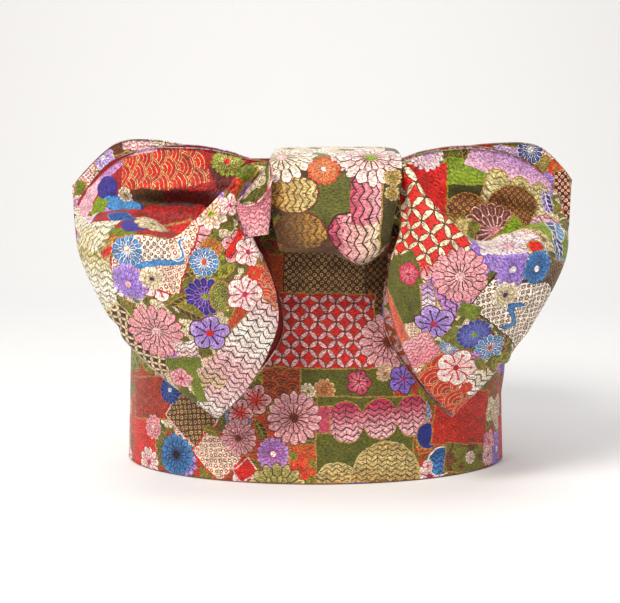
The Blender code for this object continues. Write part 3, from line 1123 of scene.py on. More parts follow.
def laid(zone, sheet):
    """A zone's layers, in millimetres of cloth."""
    layers = []
    for layer in zone.layers:
        (x, y), right, up = sheet.frame((layer.x, layer.y), zone.middle)
        angle = math.radians(layer.turn)
        along = right * math.cos(angle) + up * math.sin(angle)
        across = up * math.cos(angle) - right * math.sin(angle)
        turn = math.degrees(math.atan2(along[1], along[0]))
        if isinstance(layer, Stamp):
            scale = math.sqrt(abs(right[0] * up[1] - right[1] * up[0]))
            layers.append(layer._replace(x=x, y=y, radius=layer.radius * scale, turn=turn))
        else:
            wide, tall = layer.wide * np.linalg.norm(along), layer.high * np.linalg.norm(across)
            layers.append(layer._replace(x=x, y=y, wide=wide, high=tall, turn=turn))
    return layers


def settled(points, cloth, shown, hidden, closed=False, flip=False):
    """The creased points, and the sheet as seen. A shown zone's creases are found in the picture."""
    wrinkled = points
    sheet = Seen(points, cloth, closed, flip)
    for _ in range(CREASE_ROUNDS):
        creases = [
            crease._replace(points=[sheet.frame(spot, zone.middle)[0] for spot in crease.points])
            for zone in shown for crease in zone.creases
        ]
        wrinkled = creased(points, cloth, [*creases, *hidden], closed, flip)
        sheet = Seen(wrinkled, cloth, closed, flip)
    return wrinkled, sheet


def patch_mask(patch, point):
    """Inside the patch, and on its edge."""
    x, y = split(point)
    wide, tall, edge = patch.wide * MM, patch.high * MM, EDGE_WIDTH * MM
    if patch.shape == "disc":
        reach = span(seen_from(point, (0.0, 0.0), 0.0, (1.0, patch.high / patch.wide))) - wide
    elif patch.shape == "cloud":
        lobe = wide / LOBE_COUNT
        beside = fold(x + lobe * (LOBE_COUNT % 2 + 1), lobe)
        rise = calc("SQRT", high(lobe * lobe - beside * beside, 0.0))
        reach = high(calc("ABSOLUTE", y) - rise - (tall - lobe), calc("ABSOLUTE", x) - wide)
    elif patch.shape == "stream":
        sway = calc("SINE", x * (math.pi / wide * STREAM_BENDS)) * (tall * STREAM_SWING)
        reach = high(calc("ABSOLUTE", y - sway) - tall, calc("ABSOLUTE", x) - wide)
    else:
        reach = high(calc("ABSOLUTE", x) - wide, calc("ABSOLUTE", y) - tall)
    return below(reach, 0.0), above(reach, -edge)


def brocade(name, ground, layers=(), repeat=None):
    """A brocade: patches and motifs laid over a ground, in gold-edged silk thread."""
    material = bpy.data.materials.new(name)
    material.use_nodes = True
    tree = material.node_tree
    shader = tree.nodes["Principled BSDF"]
    source = tree.nodes.new("ShaderNodeUVMap")
    source.uv_map = "cloth"
    cloth = Wire(source.outputs[0])
    drawn_cloth = drawn(cloth)
    point = wrapped(drawn_cloth, repeat) if repeat else drawn_cloth
    paint = [linear(thread) for thread in ground.threads.split()]
    if ground.filling == "field":
        colour, gold = use(tree, field_group(), drawn_cloth, *paint, ground.size * MM)
    else:
        colour, gold = use(tree, FILLINGS[ground.filling], point, *paint, ground.size * MM)
    colour, gold = overlaid(point, colour, gold, layers)
    finish_silk(tree, shader, cloth, colour, gold)
    return material


def wrapped(point, repeat):
    """A point in the repeat of a pattern, whose middle is the origin."""
    halves = [side / 2 * MM for side in repeat]
    return join(*[calc("WRAP", value, half, -half) for value, half in zip(split(point), halves)])


def field_group():
    """The pattern of the cloth's hidden stretches, made once and shared by the brocades."""
    if "field" in bpy.data.node_groups:
        return bpy.data.node_groups["field"]

    def body(point, first, second, line, size):
        point = wrapped(point, FIELD_REPEAT)
        colour, gold = use(point.socket.id_data, FILLINGS["florets"], point, first, second, line, size)
        return overlaid(point, colour, gold, FIELD)

    return group("field", FILLING, COAT, body)


def overlaid(point, colour, gold, layers):
    """The colour and the gold of a ground with patches and motifs laid over it."""
    tree = point.socket.id_data
    for layer in layers:
        centre = (layer.x * MM, layer.y * MM)
        turn = math.radians(layer.turn)
        paint = [linear(thread) for thread in layer.threads.split()]
        if isinstance(layer, Stamp):
            size = layer.radius * MM
            local = seen_from(point, centre, turn, (size, size))
            fresh, mask, shine = use(tree, MOTIFS[layer.motif], local, *paint)
        else:
            local = seen_from(point, centre, turn)
            fresh, shine = use(tree, FILLINGS[layer.filling], local, *paint[:3], layer.size * MM)
            mask, edge = patch_mask(layer, local)
            if paint[3:]:
                fresh = blend(edge, fresh, paint[3])
        colour = blend(mask, colour, fresh)
        gold = gold + (shine - gold) * mask
    return colour, gold


def streaks(cloth, streak):
    """A noise drawn out along one direction of the cloth, from about 0 to 1."""
    noise = cloth.socket.id_data.nodes.new("ShaderNodeTexNoise")
    noise.noise_dimensions = "2D"
    noise.inputs["Scale"].default_value = 1.0
    noise.inputs["Detail"].default_value = streak.detail
    size = (streak.long, streak.short)
    fill_socket(noise.inputs["Vector"], seen_from(cloth, (0.0, 0.0), math.radians(streak.turn), size))
    return calc("MULTIPLY_ADD", Wire(noise.outputs["Fac"]), STREAK_CONTRAST, STREAK_START)


def drawn(cloth):
    """The cloth coordinates pulled about a little, as weaving and wear do."""
    tree = cloth.socket.id_data
    noise = tree.nodes.new("ShaderNodeTexNoise")
    noise.noise_dimensions = "2D"
    noise.inputs["Scale"].default_value = 1.0 / PULL_LENGTH
    noise.inputs["Detail"].default_value = PULL_DETAIL
    fill_socket(noise.inputs["Vector"], cloth)
    pull = tree.nodes.new("ShaderNodeVectorMath")
    pull.operation = "MULTIPLY_ADD"
    tree.links.new(noise.outputs["Color"], pull.inputs[0])
    pull.inputs[1].default_value = (2 * PULL, 2 * PULL, 0.0)
    pull.inputs[2].default_value = (-PULL, -PULL, 0.0)
    moved = tree.nodes.new("ShaderNodeVectorMath")
    moved.operation = "ADD"
    fill_socket(moved.inputs[0], cloth)
    tree.links.new(pull.outputs[0], moved.inputs[1])
    return Wire(moved.outputs[0])


def stitches(cloth):
    """Fine lines of couched thread that break the figures up into small petals and veins."""
    cells = cloth.socket.id_data.nodes.new("ShaderNodeTexVoronoi")
    cells.voronoi_dimensions = "2D"
    cells.feature = "DISTANCE_TO_EDGE"
    cells.inputs["Scale"].default_value = 1.0 / STITCH_LENGTH
    fill_socket(cells.inputs["Vector"], seen_from(cloth, (0.0, 0.0), STITCH_TURN, (1.0, STITCH_SQUASH)))
    return below(Wire(cells.outputs["Distance"]), STITCH_WIDTH)


def finish_silk(tree, shader, cloth, colour, gold):
    """Thread by thread tone with painted shade between the threads, painted patches of light and shade,
    stitched lines, sheen and the glint of gold.
    """
    weft, fine, patchy_tone_and_light = streaks(cloth, WEFT), streaks(cloth, FINE), streaks(cloth, PATCHY_TONE_AND_LIGHT)
    x, y = split(cloth)
    rib = fold((x + y) / RIB_PITCH, 0.5) * 2.0
    grain = weft * WEFT_SHARE + fine * FINE_SHARE + rib * RIB_SHARE
    lines = stitches(cloth)
    colour = blend(lines * STITCH_DEPTH, colour, linear("brown"))
    deeper = tree.nodes.new("ShaderNodeGamma")
    fill_socket(deeper.inputs["Color"], colour)
    deeper.inputs["Gamma"].default_value = DYE_DEPTH
    colour = Wire(deeper.outputs["Color"])
    # The grain and the patches scale the colour: the threads' random tone, with painted shade where the
    # relief is low and painted patches of light and shade.
    shade = calc("MULTIPLY_ADD", grain, PAINTED_THREAD_SHADE_CONTRAST, PAINTED_THREAD_SHADE_START)
    shade = shade * calc("MULTIPLY_ADD", patchy_tone_and_light, PATCHY_TONE_AND_LIGHT_CONTRAST, PATCHY_TONE_AND_LIGHT_START)
    fill_socket(shader.inputs["Base Color"], scaled(colour, high(shade, DARKEST_PAINTED_THREAD_SHADE)))
    bump = tree.nodes.new("ShaderNodeBump")
    bump.inputs["Strength"].default_value = RELIEF_STRENGTH
    bump.inputs["Distance"].default_value = RELIEF_HEIGHT
    fill_socket(bump.inputs["Height"], grain - lines * STITCH_SINK)
    tree.links.new(bump.outputs[0], shader.inputs["Normal"])
    fill_socket(shader.inputs["Metallic"], gold * GOLD_METALLIC)
    fill_socket(shader.inputs["Roughness"], calc("MULTIPLY_ADD", gold, GOLD_SMOOTHER, ROUGHNESS))
    shader.inputs["Sheen Weight"].default_value = SHEEN
    shader.inputs["Sheen Roughness"].default_value = SHEEN_ROUGHNESS
    shader.inputs["Specular IOR Level"].default_value = SPECULAR


# The stretches of cloth that the picture shows. Places, radii and half sizes are in the picture's pixels,
# read one by one: x to the right, y down, and turns anticlockwise. The fillings' scales and the creases'
# widths and heights stay in millimetres.
LEFT_FACE = Zone((170, 300), (
    Patch(95, 268, 22, 52, -14, "chevron", 5.0, "white cream leaf"),
    Patch(155, 248, 40, 38, -24, "kanoko", 3.0, "ivory white red red"),
    Patch(155, 250, 16, 13, 0, "kanoko", 2.4, "white ivory brown", "disc"),
    Patch(160, 263, 24, 3, 4, "satin", 3, "sky blue white"),
    Patch(181, 248, 13, 3, 62, "satin", 3, "sky blue white white", "stream"),
    Patch(107, 252, 9, 5, 35, "satin", 3, "scarlet orange gold gold"),
    Patch(235, 243, 15, 3.5, 62, "satin", 3, "scarlet red gold"),
    Patch(266, 297, 13, 33, -4, "seigaiha", 12, "scarlet orange ivory gold"),
    Patch(238, 182, 9, 24, -35, "satin", 3, "olive lime gold gold"),
    Patch(235, 188, 4, 9, -35, "satin", 3, "orange scarlet gold"),
    Stamp("kiku", 127, 251, 17, 0, "sky blue ivory white"),
    Stamp("kiku", 128, 284, 20, 10, "lilac violet blush violet"),
    Stamp("daisy", 152, 279, 13, 0, "white cream navy gold"),
    Stamp("leaf", 121, 303, 9, -60, "leaf moss gold gold"),
    Stamp("daisy", 211, 249, 12, 0, "gold orange lime olive"),
    Stamp("daisy", 211, 213, 17, 10, "white cream lime rose"),
    Stamp("ume", 230, 205, 12, 0, "white blush rose rose"),
    Stamp("ume", 248, 252, 15, 0, "white blush rose rose"),
    Stamp("kiku", 204, 262, 16, 0, "sky blue orange white"),
    Stamp("kiku", 205, 297, 20, 0, "navy navy lime mauve"),
    Patch(221, 297, 12, 16, 0, "florets", 6, "leaf olive cream gold", "disc"),
    Stamp("leaf", 190, 312, 17, -25, "leaf moss gold gold"),
    Stamp("leaf", 176, 300, 13, 30, "leaf moss gold gold"),
    Patch(139, 343, 44, 10, -47, "shippo", 5.2, "maroon ivory gold cream"),
    Stamp("kiku", 157, 332, 29, 0, "pink blush blush brown"),
    Patch(243, 358, 25, 56, -27, "chevron", 7.6, "blush white ink gold"),
    Patch(213, 379, 13, 24, -27, "chevron", 7.6, "cream blush ink"),
    Patch(214, 402, 14, 13, -30, "chevron", 7.6, "white blush ink"),
    Patch(187, 351, 11, 8, 0, "chevron", 5, "blush white ink"),
    Patch(184, 363, 18, 6, 5, "satin", 3, "leaf olive gold"),
    Patch(196, 384, 5, 19, 5, "satin", 3, "leaf lime gold"),
    Stamp("ume", 245, 294, 19, 0, "white blush rose rose"),
    Stamp("ume", 210, 333, 21, 15, "lilac violet scarlet maroon"),
    Stamp("ume", 181, 378, 11, 0, "blush pink rose rose"),
    Stamp("daisy", 254, 273, 8, 0, "scarlet orange gold orange"),
), (
    Crease(6, -2.2, 0.4, ((250, 185), (258, 215), (264, 250))),
    Crease(6, -2.0, 0.5, ((150, 302), (195, 322), (236, 330))),
    Crease(6, 1.0, 0.2, ((116, 262), (136, 298), (156, 336))),
    Crease(5, -1.8, 0.4, ((205, 342), (222, 370), (228, 398))),
    Crease(4, 1.4, 0.3, ((242, 262), (252, 300), (246, 345))),
    Crease(3.5, -1.6, 0.4, ((180, 244), (205, 220), (233, 194))),
    Crease(3, -1.3, 0.3, ((120, 240), (160, 250), (190, 246))),
))
LEFT_TOP = Zone((150, 175), (
    Patch(136, 155, 21, 5, 22, "satin", 3, "blush mauve white"),
    Patch(106, 172, 19, 6, 45, "satin", 3, "mauve blush white"),
    Patch(89, 200, 18, 6, 68, "satin", 3, "blush mauve white"),
    Patch(162, 170, 20, 43, -82, "seigaiha", 13, "scarlet red cream"),
    # The maroon, moss and brown patches along the valley and beside the knot are painted shade in the
    # valley's crease and its deep end.
    Patch(190, 200, 34, 8, 0, "satin", 4, "maroon red gold"),
    Patch(222, 176, 9, 12, 20, "satin", 3, "maroon scarlet gold"),
    Stamp("kiku", 227, 161, 17, 0, "lime cream scarlet olive"),
    Patch(153, 198, 11, 8, 0, "satin", 4, "moss brown gold"),
    Patch(140, 200, 7, 9, 0, "satin", 4, "old_gold brown gold"),
    Patch(86, 222, 7, 26, 6, "chevron", 4, "mauve white lilac"),
    Patch(107, 188, 9, 12, -15, "satin", 3, "navy violet sky", "disc"),
    Patch(121, 204, 20, 9, -18, "satin", 3, "sky blue white navy", "disc"),
    Patch(98, 208, 6, 11, -20, "satin", 3, "lime leaf gold"),
    Patch(90, 240, 18, 17, 0, "chevron", 5, "cream white leaf"),
    Patch(76, 215, 6, 30, 8, "chevron", 5, "white ivory leaf"),
    Patch(122, 232, 13, 4, -10, "satin", 3, "leaf olive gold"),
    Patch(120, 216, 15, 6, -18, "satin", 3, "blue navy white sky", "disc"),
    Patch(135, 224, 13, 6, -18, "satin", 3, "navy violet white", "disc"),
    Stamp("daisy", 125, 195, 8, 0, "white cream gold brown"),
    Stamp("daisy", 153, 224, 11, 0, "cream white lime gold"),
    Patch(178, 230, 17, 8, 12, "satin", 3, "scarlet red blush gold"),
    Patch(135, 237, 32, 3, 2, "satin", 3, "gold orange cream"),
), (
    Crease(5, -7, 0.5, ((112, 198), (150, 203), (200, 206), (236, 190))),
    Crease(5, 3.4, 0.2, ((112, 178), (160, 186), (215, 180))),
    Crease(3, -2, 0.5, ((100, 222), (130, 218), (165, 228))),
    Crease(3, -1.8, 0.4, ((97, 168), (90, 200), (92, 236))),
    Crease(3, 1.6, 0.3, ((210, 160), (235, 165), (254, 158))),
    Crease(3, -2.6, 0.4, ((222, 176), (240, 174), (254, 166))),
    Crease(3, -2.6, 0.3, ((205, 196), (228, 190), (246, 176))),
))
LEFT_REAR_FACE = Zone((95, 160), (
    Patch(120, 147, 14, 7, 25, "satin", 4, "brown old_gold gold gold"),
    Patch(138, 145, 16, 5, 0, "chevron", 4, "blush white rose"),
    Stamp("daisy", 103, 158, 12, 0, "lilac violet white white"),
    Patch(86, 175, 10, 12, 0, "kanoko", 2, "white blush rose gold"),
    Patch(80, 192, 6, 12, -10, "satin", 3, "leaf olive gold gold"),
    Stamp("daisy", 79, 205, 10, 0, "white mauve rose rose"),
    Patch(84, 250, 5, 28, 10, "satin", 3, "lime leaf gold gold"),
), ())
RIGHT_FACE = Zone((460, 300), (
    Patch(432, 222, 45, 50, -8, "shippo", 8.3, "scarlet ivory brown"),
    Patch(405, 292, 16, 34, 12, "satin", 3, "olive moss gold"),
    Patch(394, 320, 7, 45, 14, "satin", 3, "orange blush gold gold"),
    Stamp("ume", 408, 274, 12, 0, "rose pink red red"),
    Patch(428, 298, 8, 14, 0, "chevron", 5, "white mauve ink gold"),
    # Maroon kanoko at the outer fold: red cloth in painted shade where it turns round the fold.
    Patch(552, 286, 11, 22, -15, "kanoko", 2, "maroon maroon gold gold"),
    Patch(524, 308, 26, 38, -50, "kanoko", 3.6, "white ivory brown maroon"),
    Patch(538, 281, 16, 2, 0, "satin", 3, "maroon brown gold"),
    Stamp("kiku", 460, 277, 31, 0, "pink blush blush brown"),
    Stamp("kiku", 513, 270, 20, 0, "lilac violet white violet"),
    Stamp("kiku", 537, 268, 15, 0, "sky blue white blue"),
    Stamp("daisy", 505, 295, 13, 0, "white cream navy gold"),
    Patch(513, 316, 17, 3, 62, "satin", 3, "sky blue white blue", "stream"),
    Stamp("ume", 434, 324, 20, 30, "lilac violet rose maroon"),
    Patch(461, 340, 16, 9, -30, "florets", 7, "leaf olive gold"),
    # A thin maroon strip along the fold: painted shade where the cloth turns behind.
    Patch(492, 335, 24, 4, -50, "satin", 3, "maroon scarlet gold gold"),
    Patch(469, 312, 11, 7, -20, "satin", 3, "leaf lime gold"),
    Stamp("kiku", 474, 335, 16, 0, "navy violet lime sky"),
    Stamp("kiku", 490, 348, 13, 0, "sky blue orange white"),
    Patch(420, 350, 18, 15, 22, "chevron", 5, "pink blush rose gold"),
    Patch(448, 392, 26, 32, 40, "seigaiha", 24, "red scarlet cream gold"),
    Patch(482, 386, 12, 17, -40, "chevron", 9, "white ivory ink gold"),
    Patch(471, 366, 7, 12, 0, "chevron", 5, "white mauve ink"),
    Stamp("ume", 456, 368, 20, 0, "white blush red scarlet"),
    Stamp("leaf", 480, 364, 10, -50, "leaf olive gold gold"),
    Stamp("daisy", 466, 388, 6, 0, "scarlet orange gold orange"),
), (
    Crease(4, -2.0, 0.4, ((402, 192), (406, 230), (404, 262))),
    Crease(5, -2.2, 0.4, ((399, 272), (412, 310), (430, 350))),
    Crease(6, 1.8, 0.3, ((442, 252), (470, 300), (488, 342))),
    Crease(4, -2.8, 0.8, ((489, 353), (496, 360), (503, 370))),
    Crease(5, -1.8, 0.4, ((500, 292), (520, 322), (515, 350))),
    Crease(4, 1.5, 0.3, ((426, 332), (445, 370), (462, 402))),
    Crease(4, -1.4, 0.3, ((420, 215), (445, 250), (480, 262))),
))
RIGHT_TOP = Zone((470, 175), (
    Patch(425, 188, 22, 24, 0, "satin", 3, "scarlet red gold"),
    Stamp("kiku", 427, 153, 18, 0, "white blush lilac lilac"),
    Patch(472, 178, 24, 22, 0, "satin", 3, "lime olive gold"),
    Patch(468, 192, 20, 7, 0, "satin", 3, "moss olive gold"),
    Patch(514, 169, 44, 13, -21, "chevron", 5, "blush mauve lilac"),
    Patch(520, 195, 34, 20, -12, "chevron", 5, "ivory cream leaf gold", "cloud"),
    # The brown kanoko discs and the brown flower along the crease carry their pattern, and their brown is
    # also painted shade in the crease.
    Patch(468, 208, 22, 18, 0, "kanoko", 2.8, "brown brown gold gold", "disc"),
    Patch(512, 208, 27, 21, 0, "kanoko", 2.8, "brown brown gold gold", "disc"),
    Stamp("kiku", 493, 231, 31, 0, "brown brown pink blush"),
    Patch(467, 228, 12, 9, -30, "florets", 5, "cream olive gold"),
    Stamp("kiku", 508, 246, 25, 0, "white ivory blush lilac"),
    Patch(536, 247, 8, 8, 0, "satin", 3, "scarlet red gold gold", "disc"),
    Patch(545, 228, 10, 24, 8, "chevron", 4.6, "ivory cream leaf"),
    Patch(555, 232, 6, 45, 11, "satin", 3, "lime leaf gold gold"),
    Stamp("leaf", 547, 203, 14, -72, "navy violet white white"),
    Stamp("leaf", 555, 226, 16, -76, "sky blue white white"),
    Stamp("leaf", 559, 249, 14, -78, "navy blue white white"),
), (
    Crease(5, -5.5, 0.5, ((447, 194), (490, 204), (536, 214))),
    Crease(4, 3.0, 0.3, ((452, 174), (500, 178), (546, 192))),
    Crease(3, -1.7, 0.4, ((438, 162), (470, 160), (500, 162))),
    Crease(3, -1.6, 0.4, ((553, 190), (558, 220), (554, 252))),
    Crease(4, 1.8, 0.4, ((482, 238), (515, 235), (543, 243))),
    Crease(4, -1.8, 0.4, ((425, 165), (440, 200), (470, 225))),
))
RIGHT_REAR_FACE = Zone((535, 158), (
    Patch(508, 151, 16, 6, -8, "chevron", 4, "mauve lilac white gold"),
    Patch(540, 161, 12, 8, -30, "florets", 5, "leaf gold cream gold"),
    Stamp("kiku", 530, 150, 14, 0, "navy blue white white"),
    Stamp("daisy", 556, 167, 9, 0, "scarlet orange lime gold"),
    Patch(562, 205, 10, 38, 0, "kanoko", 3, "maroon scarlet ivory gold"),
), ())
KNOT_FACE = Zone((340, 200), (
    Patch(333, 203, 25, 28, 0, "satin", 3, "olive moss gold"),
    Patch(302, 254, 14, 30, 90, "chevron", 5.4, "old_gold gold brown"),
    # This disc is darker than the one above it: painted shade on the knot's lower half.
    Patch(301, 234, 22, 27, 90, "chevron", 5.4, "gold old_gold brown brown", "disc"),
    Patch(293, 194, 20, 27, 90, "chevron", 5.4, "cream gold brown brown", "disc"),
    Patch(352, 240, 30, 24, 90, "chevron", 6.2, "white rose maroon maroon", "disc"),
    Patch(363, 244, 28, 20, 90, "chevron", 6.2, "ivory pink maroon"),
    Patch(368, 200, 24, 17, 90, "chevron", 6.2, "blush rose maroon"),
    # The moss and olive strip down the knot's right edge is olive cloth with painted shade where its side
    # turns away.
    Patch(395, 200, 11, 46, 0, "satin", 3, "moss olive gold gold"),
    Patch(330, 150, 56, 9, 0, "florets", 8, "white ivory brown"),
    Stamp("kiku", 281, 157, 21, 0, "white ivory blush old_gold"),
    Stamp("kiku", 346, 159, 16, 20, "white blush lilac brown"),
    Stamp("kiku", 324, 169, 17, 0, "orange cream white scarlet"),
    Stamp("kiku", 371, 157, 26, 0, "white blush lime brown"),
    Stamp("daisy", 393, 178, 9, 0, "cream gold lime brown"),
    Stamp("daisy", 393, 193, 8, 0, "cream gold lime brown"),
), (
    Crease(4, -1.8, 0.4, ((276, 170), (300, 176), (345, 182))),
    Crease(6, 1.6, 0.3, ((282, 207), (320, 216), (388, 207))),
    Crease(3, -1.5, 0.3, ((300, 246), (330, 241), (362, 252))),
    Crease(3, -1.4, 0.3, ((392, 162), (396, 200), (392, 244))),
    Crease(4, -1.8, 0.4, ((273, 190), (277, 220), (283, 244))),
    Crease(3, -1.4, 0.3, ((300, 160), (320, 163), (380, 160))),
))
BAND_FACE = Zone((330, 330), (
    Patch(278, 276, 12, 22, 0, "satin", 3, "orange olive gold gold"),
    # These kanoko patches under the knot are dark brown and maroon: painted shade below the knot and beside
    # the right loop.
    Patch(325, 271, 42, 27, 0, "kanoko", 3.1, "brown brown cream old_gold"),
    Patch(377, 284, 12, 28, 0, "kanoko", 3.1, "maroon brown gold old_gold"),
    Patch(318, 331, 58, 38, -1, "shippo", 7.8, "scarlet blush brown gold"),
    # The maroon strip at the band's right edge is the layer behind it in painted shade, with a blush edge
    # line.
    Patch(504, 405, 5, 34, 3, "satin", 5, "maroon red blush"),
    Stamp("kiku", 388, 342, 30, 0, "blush pink brown brown"),
    Patch(348, 386, 48, 18, 0, "satin", 3, "olive moss gold gold"),
    Stamp("daisy", 324, 390, 12, 0, "cream orange gold old_gold"),
    Stamp("daisy", 308, 391, 8, 0, "white cream olive gold"),
    Stamp("ume", 359, 382, 13, 0, "rose pink red maroon"),
    Stamp("daisy", 385, 373, 9, 0, "cream blush gold gold"),
    Stamp("ume", 403, 379, 15, 0, "violet violet rose maroon"),
    Patch(281, 385, 20, 18, 0, "seigaiha", 10, "brown red gold gold"),
    Patch(366, 442, 50, 44, 0, "satin", 3, "olive moss gold gold"),
    Patch(331, 420, 16, 14, 0, "satin", 3, "rose pink gold gold"),
    Patch(380, 419, 50, 21, 6, "chevron", 5, "blush rose maroon gold", "cloud"),
    Patch(337, 484, 22, 22, 0, "chevron", 4.4, "gold cream brown cream", "disc"),
    Patch(386, 479, 35, 38, 0, "chevron", 4.4, "gold cream brown cream", "disc"),
    Patch(303, 466, 14, 22, 0, "florets", 6, "scarlet orange gold gold"),
    Patch(150, 398, 19, 22, 0, "seigaiha", 9, "scarlet brown orange gold"),
    Patch(142, 443, 12, 24, -8, "satin", 3, "scarlet orange gold gold"),
    Patch(190, 417, 25, 18, -48, "kanoko", 3.3, "brown brown cream blush"),
    Patch(216, 455, 22, 17, -48, "kanoko", 3.2, "ivory white red scarlet"),
    Patch(245, 471, 11, 9, 35, "satin", 3, "scarlet red gold blush"),
    Stamp("kiku", 170, 390, 12, 0, "navy navy white sky"),
    Stamp("kiku", 176, 455, 20, 0, "sky blue ink ink"),
    Stamp("daisy", 153, 427, 10, 0, "pink rose white white"),
    Stamp("daisy", 149, 462, 12, 0, "white blush rose rose"),
    Stamp("ume", 256, 400, 16, 0, "blush scarlet scarlet maroon"),
    Stamp("ume", 240, 413, 14, 0, "blush scarlet scarlet maroon"),
    Stamp("leaf", 261, 431, 14, -60, "moss olive gold gold"),
    Stamp("leaf", 211, 431, 10, -30, "olive leaf gold gold"),
    Stamp("kiku", 238, 438, 19, 0, "blush pink brown brown"),
    Stamp("kiku", 294, 418, 28, 0, "blush pink brown brown"),
    Stamp("kiku", 273, 454, 17, 0, "lilac violet white rose"),
    Stamp("kiku", 277, 493, 31, 0, "cream leaf gold old_gold"),
    Patch(428, 436, 12, 14, 0, "satin", 3, "navy blue sky gold", "disc"),
    Patch(441, 461, 13, 15, 0, "chevron", 4.4, "sky blue navy white", "disc"),
    Stamp("daisy", 428, 466, 6, 0, "white blush rose rose"),
    Patch(463, 417, 28, 29, -5, "seigaiha", 11, "scarlet red orange gold"),
    Patch(466, 458, 20, 15, 0, "florets", 6, "leaf brown gold gold"),
    Stamp("daisy", 470, 457, 6, 0, "white blush lime gold"),
    Stamp("ume", 489, 442, 9, 0, "pink blush rose rose"),
    Stamp("daisy", 488, 455, 8, 0, "blush white rose rose"),
    Stamp("daisy", 490, 413, 6, 0, "cream white orange gold"),
), (
    Crease(5, -1.4, 0.6, ((282, 276), (330, 284), (388, 278))),
    Crease(6, -1.3, 0.4, ((285, 300), (330, 296), (392, 306))),
    Crease(9, 1.4, 0.3, ((292, 352), (340, 358), (398, 348))),
    Crease(7, -1.3, 0.4, ((150, 440), (220, 452), (300, 446))),
    Crease(7, 1.2, 0.3, ((320, 440), (400, 432), (488, 440))),
    Crease(5, -1.3, 0.4, ((137, 400), (165, 410), (205, 404))),
    Crease(5, -1.3, 0.4, ((430, 424), (470, 412), (500, 418))),
))

# Creases like those on the picture's side, on the sides that it hides.
LEFT_HIDDEN_CREASES = (
    Crease(6, -2.2, 0.4, ((-170, 120), (-260, 150), (-420, 150))),
    Crease(6, 2.0, 0.3, ((-200, 40), (-280, 85), (-400, 125))),
    Crease(5, -2.0, 0.5, ((-235, -50), (-290, 20), (-380, 105))),
    Crease(7, -1.8, 0.3, ((-105, 100), (-125, 40), (-160, -50))),
    Crease(6, -1.8, 0.4, ((-62, 60), (-86, 0), (-112, -70))),
)
RIGHT_HIDDEN_CREASES = (
    Crease(6, -2.0, 0.4, ((150, 140), (250, 185), (400, 205))),
    Crease(5, 2.0, 0.3, ((200, 50), (290, 120), (410, 180))),
    Crease(6, -2.2, 0.5, ((250, -40), (310, 50), (400, 160))),
    Crease(6, -1.6, 0.3, ((90, 120), (130, 40), (185, -60))),
    Crease(6, 1.6, 0.3, ((68, 64), (96, 4), (128, -66))),
)
LEFT_REAR_HIDDEN_CREASES = (
    Crease(6, -1.8, 0.4, ((150, -40), (90, -30), (20, -12))),
    Crease(6, 1.6, 0.3, ((150, -62), (80, -72), (0, -98))),
    Crease(5, -1.6, 0.4, ((60, -8), (12, -56), (-20, -104))),
    Crease(6, -1.8, 0.4, ((-80, -20), (-140, -44), (-230, -92))),
    Crease(6, 1.6, 0.3, ((-70, -100), (-130, -112), (-215, -114))),
)
RIGHT_REAR_HIDDEN_CREASES = (
    Crease(6, -1.8, 0.4, ((-140, -46), (-84, -32), (-18, -16))),
    Crease(5, 1.6, 0.3, ((-136, -66), (-70, -80), (6, -100))),
    Crease(6, -1.6, 0.4, ((-50, 0), (-6, -50), (24, -98))),
    Crease(5, -1.8, 0.4, ((78, -14), (136, -40), (214, -78))),
    Crease(6, 1.6, 0.3, ((66, -94), (126, -104), (206, -98))),
)
BAND_HIDDEN_CREASES = (
    Crease(9, -1.3, 0.4, ((-300, 34), (-400, 26), (-520, 38))),
    Crease(7, 1.2, 0.3, ((-330, -42), (-440, -54), (-560, -40))),
    Crease(8, -1.3, 0.4, ((-240, -84), (-330, -74), (-420, -88))),
    Crease(7, -1.2, 0.4, ((-540, 84), (-620, 72), (-700, 86))),
    Crease(8, 1.2, 0.3, ((-170, 62), (-250, 74), (-320, 60))),
    Crease(7, -1.2, 0.4, ((-590, -22), (-650, -34), (-720, -24))),
    Crease(6, 1.1, 0.4, ((-480, 96), (-400, 86), (-330, 98))),
)
INNER_CREASES = (
    Crease(8, 1.2, 0.3, ((-140, 40), (-60, 50), (40, 38))),
    Crease(8, -1.2, 0.3, ((-560, 20), (-460, 8), (-360, 22))),
    Crease(7, 1.2, 0.3, ((-420, -50), (-330, -42), (-240, -54))),
)

# The grounds: what fills them, its scale in millimetres, and its threads.
Ground = namedtuple("Ground", "filling size threads")
DEEP_GROUND = Ground("field", 6.5, "red olive gold")
PALE_GROUND = Ground("field", 6.0, "olive ivory brown")
KNOT_GROUND = Ground("florets", 7.0, "moss old_gold brown")
RED_SATIN = Ground("satin", 4.0, "red maroon gold")
UNDERSIDE = Ground("satin", 3.0, "red maroon gold")
RIGHT_LINING = Ground("florets", 6.0, "orange blush brown")
CUFF_OUTSIDE = Ground("chevron", 4.6, "pink blush rose")
CUFF_LINING = Ground("florets", 9.0, "ivory olive brown")

